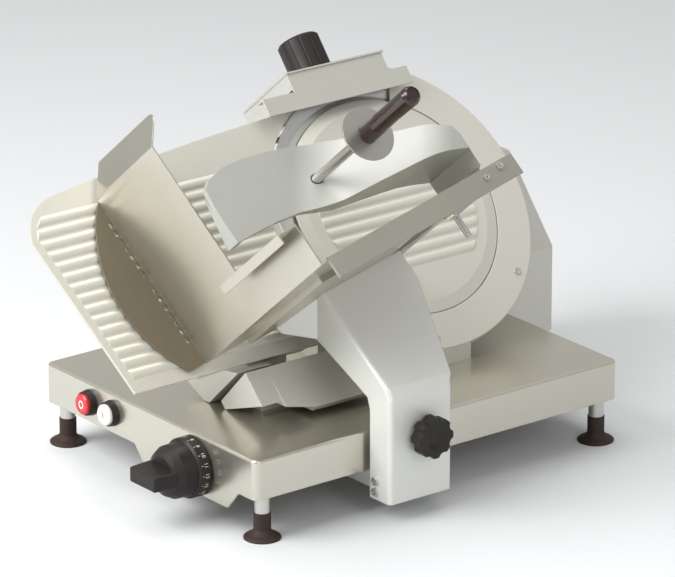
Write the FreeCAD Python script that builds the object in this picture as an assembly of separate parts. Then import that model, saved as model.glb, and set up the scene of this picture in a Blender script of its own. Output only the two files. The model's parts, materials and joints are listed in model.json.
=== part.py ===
"""Electric gravity-feed meat slicer, built from its separate pieces.

Frame: millimetres, +Z up, -Y is the operator's panel, +X the carriage side.
The floor is Z = 0, and the origin is the centre of the slicer's outline on it.
"""
import FreeCAD, Part
import math
import os
from FreeCAD import Matrix, Placement, Rotation, Vector

# ---------------------------------------------------------------- fits
RUN_GAP = 0.05           # radial gap of a turning or sliding fit
FIT_GAP = 0.05           # radial gap of a piece fixed in its hole
SEAT_GAP = 0.3           # gap where pieces of different bodies lie close
HOLE_GAP = 0.4           # radial gap of a screw in its clearance hole

# ---------------------------------------------------------------- base and feet
BASE_WIDTH = 442.0
BASE_LENGTH = 580.0
BASE_HEIGHT = 52.0
BASE_WALL = 3.0
BASE_CORNER = 9.0
BASE_EDGE = 3.5
FOOT_HEIGHT = 57.0
FOOT_INSET_X = 16.0
FOOT_INSET_Y = 22.0
FOOT_BOSS_RADIUS = 12.0
FOOT_POST_RADIUS = 10.0
FOOT_POST_LENGTH = 23.0
FOOT_STEM_RADIUS = 11.0
FOOT_CUP_RADIUS = 23.5
FOOT_CUP_HEIGHT = 12.0
FOOT_STUD_RADIUS = 4.0
FOOT_STUD_REACH = 20.0
PLATE_THICKNESS = 2.0
PLATE_RIGHT_INSET = 121.0
PLATE_PILLAR_RADIUS = 7.0
PLATE_PILLAR_INSET = 60.0
TAB_DROP = 26.0
TAB_LEFT_X = -30.0
TAB_RIGHT_INSET = 35.0
TAB_SLOPE = 23.0

# ---------------------------------------------------------------- blade
BLADE_TILT = 40.0        # blade plane from the vertical, degrees
BLADE_X = -26.5
BLADE_Y = 122.0
RING_LIFT = 21.79         # ring's lowest edge above the base's top
BLADE_RADIUS = 175.0
BLADE_EDGE_DEPTH = 1.5   # cutting edge behind the gauge plate's face
BLADE_THICKNESS = 4.0
BLADE_HOLLOW = 4.5       # how far the blade's face is dished
BLADE_BEVEL = 17.0
SPIGOT_RADIUS = 20.0
HUB_RADIUS = 45.0
HUB_THICKNESS = 8.0
SHAFT_RADIUS = 12.5
SHAFT_BORE_RADIUS = 6.0
BLADE_SCREW_CIRCLE = 32.0
RING_MARGIN = 25.0       # ring's outer edge outside the blade's
RING_OVERLAP = 24.0      # ring's inner edge inside the blade's
RING_SCREW_MARGIN = 11.0
COVER_GAP = 1.2
COVER_CHAMFER = 15.8
COVER_RIB_INSET = 31.8
COVER_TOP = 4.0          # cover's plateau above the gauge plate's face
COVER_RIM_TOP = 1.0      # cover's rim above the gauge plate's face
COVER_RIM_HEIGHT = 3.0
COVER_SKIN = 2.5
RIB_PITCH = 15.6
RIB_HEIGHT = 2.0
RIB_ROOT = 0.5           # how deep a rib is rooted in its plate
RIB_WIDTH = 13.0
COVER_RIB_ROWS = 11
RING_THICKNESS = 3.0
RING_PROUD = 2.0
RING_START = -118.0      # degrees from the travel direction, up-slope positive
RING_END = 66.0
RING_SCREW_ANGLES = (-98.0, -42.6, 61.0)
BOWL_FLOOR_DEPTH = 24.0
BOWL_FLOOR_THICKNESS = 4.0
BOWL_RIM_WALL = 5.0
RING_FOOT_WIDTH = 46.0
RING_FOOT_DEPTH = 26.0

# ---------------------------------------------------------------- housing and drive
HOUSING_FACE_DEPTH = 58.0    # sloped face behind the gauge plate's face
HOUSING_CREASE = 70.0        # crease above the base's top
HOUSING_CREST = 3.0          # top above the blade's centre
HOUSING_LEFT_INSET = 16.0
HOUSING_FRONT_REACH = 134.0  # in front of the blade's centre
HOUSING_OVERHANG = 86.0      # behind the base
HOUSING_DROP = 47.0
HOUSING_WALL = 2.5
HOUSING_FLANGE = 16.0
SERVICE_WIDTH = 170.0
SERVICE_HEIGHT = 130.0
SERVICE_LAP = 9.0
SERVICE_THICKNESS = 2.0
BEARING_OUTER = 26.0
BEARING_WIDTH = 15.0
BEARING_HOUSING_RADIUS = 36.0
BEARING_PULLEY_GAP = 8.0     # bearing housing's end in front of the pulley
BEARING_FLANGE_RADIUS = 58.0
BEARING_FLANGE_THICKNESS = 6.0
NECK_RADIUS = 44.0
MOTOR_OFFSET = 150.0
MOTOR_RADIUS = 45.0
MOTOR_PULLEY_GAP = 5.5       # motor's end in front of its pulley
MOTOR_SHAFT_RADIUS = 7.0
BLADE_PULLEY_RADIUS = 50.0
MOTOR_PULLEY_RADIUS = 22.0
PULLEY_WIDTH = 12.0
PULLEY_INSET = 72.5          # pulleys' far face in front of the tie rod's end
BELT_WIDTH = 9.0
BELT_THICKNESS = 2.5
TIE_ROD_RADIUS = 4.0
TIE_BOSS_RADIUS = 12.0
TIE_BOSS_LENGTH = 36.5
TIE_KNOB_RADIUS = 11.0
TIE_KNOB_LENGTH = 12.0
TIE_KNOB_LIFT = 17.8         # tie rod's end above the base's top
TIE_ROD_PROUD = 11.5         # tie rod's end beyond the housing's left wall, along the rod
GLAND_INSET = 151.0
GLAND_RADIUS = 9.0
GLAND_LENGTH = 16.0

# ---------------------------------------------------------------- controls
BUTTON_HEIGHT = 26.0         # above the base's lower edge
STOP_INSET = 96.0
START_INSET = 143.5
BUTTON_RADIUS = 13.5
BUTTON_STEM_RADIUS = 8.0
COLLAR_RADIUS = 17.0
COLLAR_LENGTH = 9.0
BUTTON_PROUD = 5.0
BUTTON_TRAVEL = 3.0
SWITCH_LENGTH = 38.0
SWITCH_WIDTH = 30.0
SWITCH_HEIGHT = 34.0
KNOB_INSET = 124.0
KNOB_HEIGHT = 10.0           # above the base's lower edge
DIAL_RADIUS = 38.5
DIAL_LENGTH = 20.0
GRIP_HUB_RADIUS = 33.0
GRIP_HUB_LENGTH = 31.0
GRIP_BAR_LENGTH = 52.0       # at its free edge
GRIP_BAR_ROOT = 64.0         # where it leaves the hub
GRIP_BAR_WIDTH = 20.0
GRIP_BAR_EDGE = 2.5
GRIP_BAR_PROUD = 30.0
SPINDLE_RADIUS = 5.0
SPINDLE_COLLAR = 9.0
SPINDLE_LENGTH = 36.0
CAM_RADIUS = 9.0             # its lowest part; it rises by the gauge's travel
CAM_THICKNESS = 8.0
CAM_GAP = 0.8
GAUGE_TRAVEL = 16.0
KNOB_RANGE = 300.0           # degrees

# ---------------------------------------------------------------- gauge plate
GAUGE_THICKNESS = 4.0
GAUGE_CUT_GAP = 2.8
GAUGE_BOTTOM_INSET = 26.0    # these four are set against the blade's radius
GAUGE_LEFT_LOW = 480.0
GAUGE_LEFT_HIGH = 532.0
GAUGE_SHOULDER = 70.0
GAUGE_TOP_LEFT = 480.0
GAUGE_TOP_LEFT_INSET = 52.0
GAUGE_TOP_MIDDLE = 308.0
GAUGE_TOP_MIDDLE_INSET = 32.0
GAUGE_TOP_INSET = 17.0
GAUGE_RIB_TOP = 94.0
GAUGE_RIB_ROWS = 15
GAUGE_RIB_MARGIN = 10.0
CARRIER_INSET = 223.0
CARRIER_WIDTH = 50.0
CARRIER_FRONT_Y = -214.0
CARRIER_NOSE = ((16, 0), (27, 0), (87, 57), (60, 53), (4, 24), (-6, 25), (-21, 17))
CARRIER_STEM_Y = -162.0
CARRIER_STEM_LENGTH = 52.0
CARRIER_GAP = 1.0
FLANGE_THICKNESS = 12.0
FLANGE_OVERLAP = 20.0
FLANGE_TOP = 20.0
FOLLOWER_WIDTH = 12.0
CASTING_INSET = 94.0
CASTING_WIDTH = 71.0
CASTING_FRONT_Y = -211.0
CASTING_LENGTH = 166.0
CASTING_FRONT_SHAPE = ((-2, 0), (-10, 9), (40, 61), (75, 27))   # from its left side and the base's top
CASTING_SHAPE = ((0, 0), (0, 22), (40, 61), (89, 14), (83, 7), (32, 6), (32, 0))
CASTING_FRONT_LENGTH = 32.0
CASTING_STEP_LENGTH = 72.0   # over which its lower edge comes down from the front
GUIDE_ROD_RADIUS = 6.0
GUIDE_ROD_Z = 14.0           # above the base's top
GUIDE_ROD_GRIP = 27.0        # how deep the rods sit in the casting

# ---------------------------------------------------------------- carriage
TRAY_TURN = 12.33            # tray turned in the blade plane, degrees
WALL_F = -390.0              # end wall along the tray
SHEET = 2.0
TRAY_GAP = 4.0               # end wall's inner edge in front of the gauge plate
FLOOR_GAP = 8.0              # floor's inner edge in front of the gauge plate
FLOOR_DROP = 53.5            # floor down-slope of the blade's centre
TRAY_DEPTH = 308.0
WALL_DEPTH = 158.0
WALL_RISE = 192.0
FLAP_RISE = 39.0
FLAP_LEAN = 34.0
FLAP_CORNER = 18.0
LOW_WALL_RISE = 56.5
LEDGE_REACH = 27.0
LEDGE_LIP = 13.0
LEDGE_START = 150.0
LEDGE_END = 304.0
TRAY_FAR_F = -95.0
RAIL_THICKNESS = 4.0
RAIL_HEIGHT = 29.0
RAIL_RISE = 2.5
RAIL_NEAR_F = -379.0
RAIL_FAR_F = -51.0
RAIL_LUG_F = -116.0
GUARD_GAP = 1.6
GUARD_BULGE = 60.0
GUARD_TOP = 187.0
GUARD_MIDDLE = 78.0
GUARD_FOOT = 26.0
GUARD_SLOT_LENGTH = 7.0
GUARD_SLOT_WIDTH = 5.0
GUARD_SLOT_PITCH = 12.0
GUARD_SLOTS = 7
GUARD_SLOT_ROWS = (157.0, 58.0)
PUSHER_ROD_RADIUS = 7.0
PUSHER_ROD_F = -78.0
PUSHER_ROD_DROP = 58.0
SUPPORT_THICKNESS = 8.0
SUPPORT_NEAR_F = -332.0
SUPPORT_FAR_F = -132.0
SUPPORT_INNER = 24.0
SUPPORT_OUTER = 215.0
SUPPORT_GRIP = 7.0           # how deep the support's screws go into the arm
SUPPORT_SCREWS = ((90, 58), (130, 58), (110, 26))   # from the support's near and inner edges
ARM_REACH = 47.0             # arm's outer face beyond the base's side
ARM_LEG = 40.0
ARM_NEAR_Y = -118.0
ARM_WIDTH = 95.0
ARM_BOTTOM = 24.0
ARM_BEND_DROP = 119.0        # arm's bend below the blade's centre
ARM_FLARE = 48.0
ARM_SHAPE = ((0, -3), (-7, 11), (-175, 126), (-215, 126), (-215, 58),
             (-198, 33), (-146, 35), (-99, 14), (-61, -3), (-45, -11), (-40, -26))   # from its outer face and bend
ARM_GUSSET_SHAPE = ((-204, 60), (-184, 38), (-146, 36), (-146, 110), (-160, 110))
ARM_GUSSET_REACH = 40.0
ARM_FLARE_RISE = 92.0
ARM_EDGE = 6.0
LINK_BOTTOM = 30.0
LINK_TOP = 53.0
ROD_MAIN_RADIUS = 10.0
ROD_AUX_RADIUS = 6.0
ROD_PAD = 5.0
ROD_MAIN_INSET = 39.0
ROD_AUX_INSET = 95.0
ROD_HEIGHT = 27.0            # above the base's lower edge
SLIDE_LENGTH = 80.0
SLIDE_HEIGHT = 32.0
LOCK_KNOB_RADIUS = 26.5
LOCK_KNOB_LENGTH = 24.0
LOCK_KNOB_LOBES = 8
LOCK_Z = 108.0
LOCK_STUD_RADIUS = 5.0

# ---------------------------------------------------------------- pusher
PUSHER_BACK = 179.0          # plate's back in front of the gauge plate's face
PUSHER_PLATE = 8.0
PUSHER_RISE = 99.0           # how far the arm's right part stands in front of the plate
PUSHER_SLOPE_ANGLE = -39.5   # direction in which the arm rises, degrees
PUSHER_SLOPE_START = -213.0
PUSHER_SLOPE_END = -95.0
PUSHER_FOOT_ROUND = 90.0
PUSHER_CREST_ROUND = 60.0
PUSHER_WALL = 7.0
PUSHER_HUB_RADIUS = 14.0
PUSHER_LEG_LEFT = -76.0
PUSHER_LEG_RIGHT = -62.0
HANDLE_F = -232.0
HANDLE_RISE = 54.0
HANDLE_ROD_RADIUS = 6.5
HANDLE_ROD_LENGTH = 137.0
HANDLE_TENON_RADIUS = 4.0
GUARD_DISC_RADIUS = 35.5
GUARD_DISC_THICKNESS = 2.0
GRIP_RADIUS = 13.0
GRIP_LENGTH = 114.0
SPIKE_LENGTH = 12.0
SPIKE_RADIUS = 1.5
SPIKE_PITCH = 11.0
SPIKE_START = -366.0
SPIKE_ROWS = (38.0, 66.0, 94.0)
SLEEVE_RADIUS = 10.0
SLEEVE_COLLAR = 17.0
STOP_PIN_RADIUS = 4.2
STOP_PIN_LENGTH = 30.0

# ---------------------------------------------------------------- sharpener
SHARP_LEFT = -87.0
SHARP_RIGHT = 66.0
SHARP_SKIRT_LEFT = -138.0
SHARP_SKIRT_RIGHT = 95.0
SHARP_OVERLAP = 25.0         # casing's lower edge inside the blade's
SHARP_STEP_OVERLAP = 1.0
SHARP_RISE = 24.0
SHARP_FRONT = 20.0
SHARP_BACK = -100.0
SHARP_SHEET = 2.0
SHARP_KNOB_RADIUS = 28.0
SHARP_KNOB_LENGTH = 50.0
SHARP_KNOB_A = -24.0
SHARP_KNOB_C = -14.0
POST_RADIUS = 8.0
POST_A = -72.0
POST_C = -44.0
STONE_RADIUS = 18.0
STONE_THICKNESS = 7.0
STONE_AXLE_RADIUS = 3.5
KNOB_STUD_RADIUS = 4.0

# ---------------------------------------------------------------- worked-out places
BASE_TOP = FOOT_HEIGHT + BASE_HEIGHT
HALF_W = BASE_WIDTH / 2
HALF_L = BASE_LENGTH / 2
TILT = math.radians(BLADE_TILT)
RING_RADIUS = BLADE_RADIUS + RING_MARGIN
RING_INNER = BLADE_RADIUS - RING_OVERLAP
RING_SCREW_CIRCLE = BLADE_RADIUS + RING_SCREW_MARGIN
COVER_RADIUS = RING_INNER - COVER_GAP
COVER_PLATEAU = COVER_RADIUS - COVER_CHAMFER
COVER_RIB_RADIUS = COVER_RADIUS - COVER_RIB_INSET
TIE_ROD_REACH = (BLADE_X + HALF_W - HOUSING_LEFT_INSET) / math.cos(TILT) + TIE_ROD_PROUD
RING_NEEDS = RING_LIFT + RING_RADIUS * math.cos(TILT)
TIE_ROD_NEEDS = TIE_KNOB_LIFT + TIE_ROD_REACH * math.sin(TILT)
BLADE_HEIGHT = max(RING_NEEDS, TIE_ROD_NEEDS)   # blade centre above the base's top
HOUSING_HEIGHT = BLADE_HEIGHT + HOUSING_CREST
PULLEY_DEPTH = TIE_ROD_REACH - PULLEY_INSET
MOTOR_LENGTH = PULLEY_DEPTH - PULLEY_WIDTH - MOTOR_PULLEY_GAP - HOUSING_FACE_DEPTH - HOUSING_WALL
BEARING_HOUSING_LENGTH = PULLEY_DEPTH - PULLEY_WIDTH - BEARING_PULLEY_GAP - HOUSING_FACE_DEPTH - PULLEY_WIDTH
GAUGE_CUT_RADIUS = BLADE_RADIUS + GAUGE_CUT_GAP
GAUGE_BOTTOM = BLADE_RADIUS - GAUGE_BOTTOM_INSET
GAUGE_TOP_LEFT_RISE = BLADE_RADIUS - GAUGE_TOP_LEFT_INSET
GAUGE_TOP_MIDDLE_RISE = BLADE_RADIUS - GAUGE_TOP_MIDDLE_INSET
GAUGE_TOP_RISE = BLADE_RADIUS - GAUGE_TOP_INSET
SHARP_BOTTOM = BLADE_RADIUS - SHARP_OVERLAP
SHARP_STEP = BLADE_RADIUS - SHARP_STEP_OVERLAP
SHARP_TOP = BLADE_RADIUS + SHARP_RISE
PLATE_RIGHT_X = HALF_W - PLATE_RIGHT_INSET
TAB_RIGHT_X = HALF_W - TAB_RIGHT_INSET
GLAND_X = HALF_W - GLAND_INSET
STOP_X = STOP_INSET - HALF_W
START_X = START_INSET - HALF_W
KNOB_X = HALF_W - KNOB_INSET
CARRIER_LEFT_X = HALF_W - CARRIER_INSET
CASTING_RIGHT_X = HALF_W - CASTING_INSET
CASTING_LEFT_X = CASTING_RIGHT_X - CASTING_WIDTH
ROD_MAIN_X = HALF_W - ROD_MAIN_INSET
ROD_AUX_X = HALF_W - ROD_AUX_INSET
ARM_OUTER_X = HALF_W + ARM_REACH
ARM_BEND = BASE_TOP + BLADE_HEIGHT - ARM_BEND_DROP
BLADE_CENTRE = Vector(BLADE_X, BLADE_Y, BASE_TOP + BLADE_HEIGHT)
OUT = Vector(math.cos(TILT), 0, math.sin(TILT))       # out of the blade, towards the carriage
UPSLOPE = Vector(-math.sin(TILT), 0, math.cos(TILT))  # up the blade plane
ALONG = Vector(0, 1, 0)                               # carriage travel
FEET = [(sx * (HALF_W - FOOT_INSET_X), sy * (HALF_L - FOOT_INSET_Y))
        for sx in (-1, 1) for sy in (-1, 1)]
NODES = {}
BASE_SCREWS = []
HOUSING_SCREWS = []
CARRIAGE_SCREWS = []
SCREW_RADIUS = 3.0
SCREW_HEAD_RADIUS = 5.0
SCREW_HEAD_HEIGHT = 3.6


# ---------------------------------------------------------------- small tools
def block(x0, x1, y0, y1, z0, z1):
    return Part.makeBox(x1 - x0, y1 - y0, z1 - z0, Vector(x0, y0, z0))


def rod(radius, start, end):
    axis = end.sub(start)
    return Part.makeCylinder(radius, axis.Length, start, axis)


def pipe(outer, inner, start, end):
    return rod(outer, start, end).cut(rod(inner, start, end))


def prism(points, low, high):
    """Polygon in the local XY plane, raised from low to high along local Z."""
    corners = [Vector(x, y, low) for x, y in points]
    face = Part.Face(Part.makePolygon(corners + corners[:1]))
    return face.extrude(Vector(0, 0, high - low))


def side_prism(points, y0, y1):
    """Polygon in the XZ plane, carried from y0 to y1."""
    corners = [Vector(x, y0, z) for x, z in points]
    face = Part.Face(Part.makePolygon(corners + corners[:1]))
    return face.extrude(Vector(0, y1 - y0, 0))


def spun(profile):
    """Profile of (radius, height) points turned about the local Z axis."""
    corners = [Vector(r, 0, h) for r, h in profile]
    face = Part.Face(Part.makePolygon(corners + corners[:1]))
    return face.revolve(Vector(), Vector(0, 0, 1), 360)


def union(shapes):
    shapes = list(shapes)
    whole = shapes[0].multiFuse(shapes[1:]) if len(shapes) > 1 else shapes[0]
    return whole.removeSplitter()


def group(shapes):
    return Part.makeCompound([solid for shape in shapes for solid in shape.Solids])


def moved(shape, placement):
    copy = shape.copy()
    copy.Placement = placement.multiply(copy.Placement)
    return copy


def frame(x_axis, y_axis, z_axis, origin):
    return Placement(Matrix(x_axis.x, y_axis.x, z_axis.x, origin.x,
                            x_axis.y, y_axis.y, z_axis.y, origin.y,
                            x_axis.z, y_axis.z, z_axis.z, origin.z, 0, 0, 0, 1))


BLADE_FRAME = frame(ALONG, UPSLOPE, OUT, BLADE_CENTRE)
TRAY_FRAME = BLADE_FRAME.multiply(Placement(Vector(), Rotation(Vector(0, 0, 1), TRAY_TURN)))


def on_blade(shape):
    """Local x along the travel, y up the blade plane, z out of it."""
    return moved(shape, BLADE_FRAME)


def on_tray(shape):
    """As on_blade, turned in the plane so that x runs along the tray's floor."""
    return moved(shape, TRAY_FRAME)


def aimed(shape, at, out):
    """Stands a shape that points along +Z at a place, pointing along out."""
    return moved(shape, Placement(at, Rotation(Vector(0, 0, 1), out)))


def screw(head_radius, head_height, shank_radius, shank_length):
    """Socket screw: its head stands on Z = 0, its shank goes down."""
    body = rod(head_radius, Vector(), Vector(0, 0, head_height))
    body = body.fuse(rod(shank_radius, Vector(0, 0, -shank_length), Vector(0, 0, head_height / 2)))
    hexagon = [(head_radius * 0.55 * math.cos(math.radians(60 * k)),
                head_radius * 0.55 * math.sin(math.radians(60 * k))) for k in range(6)]
    return body.cut(prism(hexagon, head_height * 0.4, head_height + 1)).removeSplitter()


def fixing(at, out, length, head_radius=SCREW_HEAD_RADIUS):
    """The slicer's usual screw, its head standing on a place and pointing along out."""
    return aimed(screw(head_radius, SCREW_HEAD_HEIGHT, SCREW_RADIUS, length), at, out)


def edges_along(shape, direction, where=None):
    """Straight edges that run along a direction, kept where a test on their middle holds."""
    found = []
    for edge in shape.Edges:
        if not isinstance(edge.Curve, Part.Line):
            continue
        run = edge.Vertexes[-1].Point.sub(edge.Vertexes[0].Point)
        if run.Length > 1e-6 and abs(abs(run.normalize().dot(direction)) - 1) < 1e-6:
            if where is None or where(edge.CenterOfMass):
                found.append(edge)
    return found


def circle_points(radius, count, start=0.0):
    return [(radius * math.cos(math.radians(start + 360.0 * k / count)),
             radius * math.sin(math.radians(start + 360.0 * k / count))) for k in range(count)]


def sector(inner, outer, start, end, low, high):
    """Part of a flat ring between two angles in degrees."""
    span = end - start
    ring = Part.makeCylinder(outer, high - low, Vector(0, 0, low), Vector(0, 0, 1), span)
    ring = ring.cut(Part.makeCylinder(inner, high - low + 2, Vector(0, 0, low - 1), Vector(0, 0, 1)))
    return moved(ring, Placement(Vector(), Rotation(Vector(0, 0, 1), start)))


def ribs(rows, top, left, right, face):
    """Rows of ribs along local x, standing on the plane z = face."""
    bars = []
    for row in range(rows):
        y = top - row * RIB_PITCH
        half = RIB_WIDTH / 2
        near, far = Vector(left, y - half, face), Vector(left, y + half, face)
        down = Vector(0, 0, -RIB_ROOT)
        crown = Part.Arc(near, Vector(left, y, face + RIB_HEIGHT), far)
        sides = [Part.LineSegment(far, far + down), Part.LineSegment(far + down, near + down),
                 Part.LineSegment(near + down, near)]
        bar = Part.Face(Part.Wire([edge.toShape() for edge in [crown] + sides]))
        bars.append(bar.extrude(Vector(right - left, 0, 0)))
    return bars


def node(name, shape):
    NODES[name] = shape
    return shape


# ---------------------------------------------------------------- base
def make_base():
    body = block(-HALF_W, HALF_W, -HALF_L, HALF_L, FOOT_HEIGHT, BASE_TOP)
    body = body.makeFillet(BASE_CORNER, edges_along(body, Vector(0, 0, 1)))
    rim = [e for e in body.Edges if abs(e.CenterOfMass.z - BASE_TOP) < 1e-6]
    body = body.makeFillet(BASE_EDGE, rim)
    inner_x, inner_y = HALF_W - BASE_WALL, HALF_L - BASE_WALL
    ceiling = BASE_TOP - BASE_WALL
    cavity = block(-inner_x, inner_x, -inner_y, inner_y, FOOT_HEIGHT - 1, ceiling)
    cavity = cavity.makeFillet(BASE_CORNER - BASE_WALL, edges_along(cavity, Vector(0, 0, 1)))
    body = body.cut(cavity)
    tab_low = FOOT_HEIGHT - TAB_DROP
    tab = side_prism([(TAB_LEFT_X, FOOT_HEIGHT + BASE_WALL), (TAB_LEFT_X, FOOT_HEIGHT),
                      (TAB_LEFT_X + TAB_SLOPE, tab_low), (TAB_RIGHT_X - TAB_SLOPE, tab_low),
                      (TAB_RIGHT_X, FOOT_HEIGHT), (TAB_RIGHT_X, FOOT_HEIGHT + BASE_WALL)],
                     -HALF_L, -inner_y)
    bosses = [rod(FOOT_BOSS_RADIUS, Vector(x, y, FOOT_HEIGHT), Vector(x, y, ceiling)) for x, y in FEET]
    pillars = [rod(PLATE_PILLAR_RADIUS, Vector(x, y, FOOT_HEIGHT + PLATE_THICKNESS), Vector(x, y, ceiling))
               for x, y in plate_screw_places()]
    z = FOOT_HEIGHT + ROD_HEIGHT
    ends = []
    for side in (-1, 1):
        for x, radius in ((ROD_MAIN_X, ROD_MAIN_RADIUS), (ROD_AUX_X, ROD_AUX_RADIUS)):
            pad = radius + ROD_PAD
            y = side * inner_y
            ends.append(block(x - pad, x + pad, min(y, y - side * 12), max(y, y - side * 12),
                              z - pad, ceiling))
    body = union([body, tab] + bosses + pillars + ends)
    holes = [rod(FOOT_STUD_RADIUS + FIT_GAP, Vector(x, y, FOOT_HEIGHT - 1),
                 Vector(x, y, FOOT_HEIGHT + FOOT_STUD_REACH + 2)) for x, y in FEET]
    holes += [rod(SCREW_RADIUS + FIT_GAP, Vector(x, y, FOOT_HEIGHT), Vector(x, y, FOOT_HEIGHT + 18))
              for x, y in plate_screw_places()]
    for x in (STOP_X, START_X):
        button_z = FOOT_HEIGHT + BUTTON_HEIGHT
        holes.append(rod(BUTTON_STEM_RADIUS + 3, Vector(x, -HALF_L - 1, button_z),
                Vector(x, -inner_y + 1, button_z)))
    knob_z = FOOT_HEIGHT + KNOB_HEIGHT
    holes.append(rod(SPINDLE_RADIUS + RUN_GAP, Vector(KNOB_X, -HALF_L - 1, knob_z),
                     Vector(KNOB_X, -inner_y + 1, knob_z)))
    for x, radius in ((ROD_MAIN_X, ROD_MAIN_RADIUS), (ROD_AUX_X, ROD_AUX_RADIUS)):
        holes.append(rod(radius + FIT_GAP, Vector(x, -inner_y, z), Vector(x, inner_y, z)))
    holes.append(rod(GLAND_RADIUS + FIT_GAP, Vector(GLAND_X, inner_y - 1, z), Vector(GLAND_X, HALF_L + 1, z)))
    x0, x1, y0, y1 = carrier_stem()
    holes.append(block(x0 - GAUGE_TRAVEL - 2, x1 + 2, y0 - 2, y1 + 2, ceiling - 1, BASE_TOP + 1))
    holes.append(rod(16, Vector(-90, BLADE_Y + 60, ceiling - 1), Vector(-90, BLADE_Y + 60, BASE_TOP + 1)))
    holes += [rod(SCREW_RADIUS + HOLE_GAP, Vector(x, y, ceiling - 1), Vector(x, y, BASE_TOP + 1))
              for x, y in housing_screw_places() + ring_foot_screw_places() + casting_screw_places()]
    for hole in holes:
        body = body.cut(hole)
    node("base_body", body.removeSplitter())


def plate_screw_places():
    x0 = -HALF_W + PLATE_PILLAR_INSET
    x1 = PLATE_RIGHT_X - 14
    y = HALF_L - PLATE_PILLAR_INSET
    return [(x0, -y), (x0, y), (x1, -y), (x1, y)]


def make_bottom_plate():
    gap = BASE_WALL + 0.5
    plate = block(-HALF_W + gap, PLATE_RIGHT_X, -HALF_L + gap, HALF_L - gap,
                  FOOT_HEIGHT, FOOT_HEIGHT + PLATE_THICKNESS)
    plate = plate.makeFillet(BASE_CORNER - BASE_WALL,
                             edges_along(plate, Vector(0, 0, 1), lambda p: p.x < 0))
    for x, y in FEET:
        plate = plate.cut(rod(FOOT_BOSS_RADIUS + 1, Vector(x, y, 0), Vector(x, y, BASE_TOP)))
    for x, y in plate_screw_places():
        plate = plate.cut(rod(SCREW_RADIUS + HOLE_GAP, Vector(x, y, 0), Vector(x, y, BASE_TOP)))
        BASE_SCREWS.append(fixing(Vector(x, y, FOOT_HEIGHT), Vector(0, 0, -1), 16))
    cam_reach = CAM_RADIUS + GAUGE_TRAVEL + 4
    spindle_end = SPINDLE_LENGTH - HALF_L + 6
    plate = plate.cut(block(KNOB_X - cam_reach, PLATE_RIGHT_X + 1, -HALF_L, spindle_end, 0, BASE_TOP))
    node("base_bottom_plate", plate)


def make_feet():
    post_low = FOOT_HEIGHT - FOOT_POST_LENGTH
    stud_low = 10.0
    posts, cups = [], []
    hole = FOOT_STUD_RADIUS + FIT_GAP
    r = FOOT_CUP_RADIUS
    for x, y in FEET:
        post = rod(FOOT_POST_RADIUS, Vector(x, y, post_low), Vector(x, y, FOOT_HEIGHT))
        stud = rod(FOOT_STUD_RADIUS, Vector(x, y, stud_low), Vector(x, y, FOOT_HEIGHT + FOOT_STUD_REACH))
        posts.append(union([post, stud]))
        cup = spun([(0, 6), (0, stud_low), (hole, stud_low), (hole, post_low),
                    (FOOT_STEM_RADIUS, post_low), (FOOT_STEM_RADIUS, FOOT_CUP_HEIGHT),
                    (FOOT_STEM_RADIUS + 1.5, FOOT_CUP_HEIGHT * 0.75), (FOOT_STEM_RADIUS + 5,
                            FOOT_CUP_HEIGHT * 0.52),
                    (r - 2, FOOT_CUP_HEIGHT * 0.3), (r, FOOT_CUP_HEIGHT * 0.15), (r, 0),
                    (r - 2.5, 0), (FOOT_STEM_RADIUS, 5)])
        cups.append(moved(cup, Placement(Vector(x, y, 0), Rotation())))
    node("foot_posts", group(posts))
    node("foot_suction_cups", group(cups))


# ---------------------------------------------------------------- housing
def slope_x(z, depth):
    """X of the plane that lies a depth behind the gauge plate's face, at a height."""
    return BLADE_X + (-depth - (z - BLADE_CENTRE.z) * OUT.z) / OUT.x


def housing_outline(inset):
    low, crease, top = BASE_TOP, BASE_TOP + HOUSING_CREASE, BASE_TOP + HOUSING_HEIGHT - inset
    depth = HOUSING_FACE_DEPTH + inset
    front = slope_x(crease, HOUSING_FACE_DEPTH) - inset
    bend = BLADE_CENTRE.z + (-depth - (front - BLADE_X) * OUT.x) / OUT.z
    left = -HALF_W + HOUSING_LEFT_INSET + inset
    return [(front, low), (front, bend), (slope_x(top, depth), top), (left, top), (left, low)]


def housing_screw_places():
    left = -HALF_W + HOUSING_LEFT_INSET + HOUSING_WALL + HOUSING_FLANGE / 2
    right = slope_x(BASE_TOP + HOUSING_CREASE, HOUSING_FACE_DEPTH) - HOUSING_WALL - HOUSING_FLANGE / 2
    y0 = BLADE_Y - HOUSING_FRONT_REACH + HOUSING_WALL + HOUSING_FLANGE / 2
    y1 = HALF_L - FOOT_INSET_Y - FOOT_BOSS_RADIUS - HOUSING_FLANGE
    return [(left, y0), (right, y0), (left, y1), (right, y1)]


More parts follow.
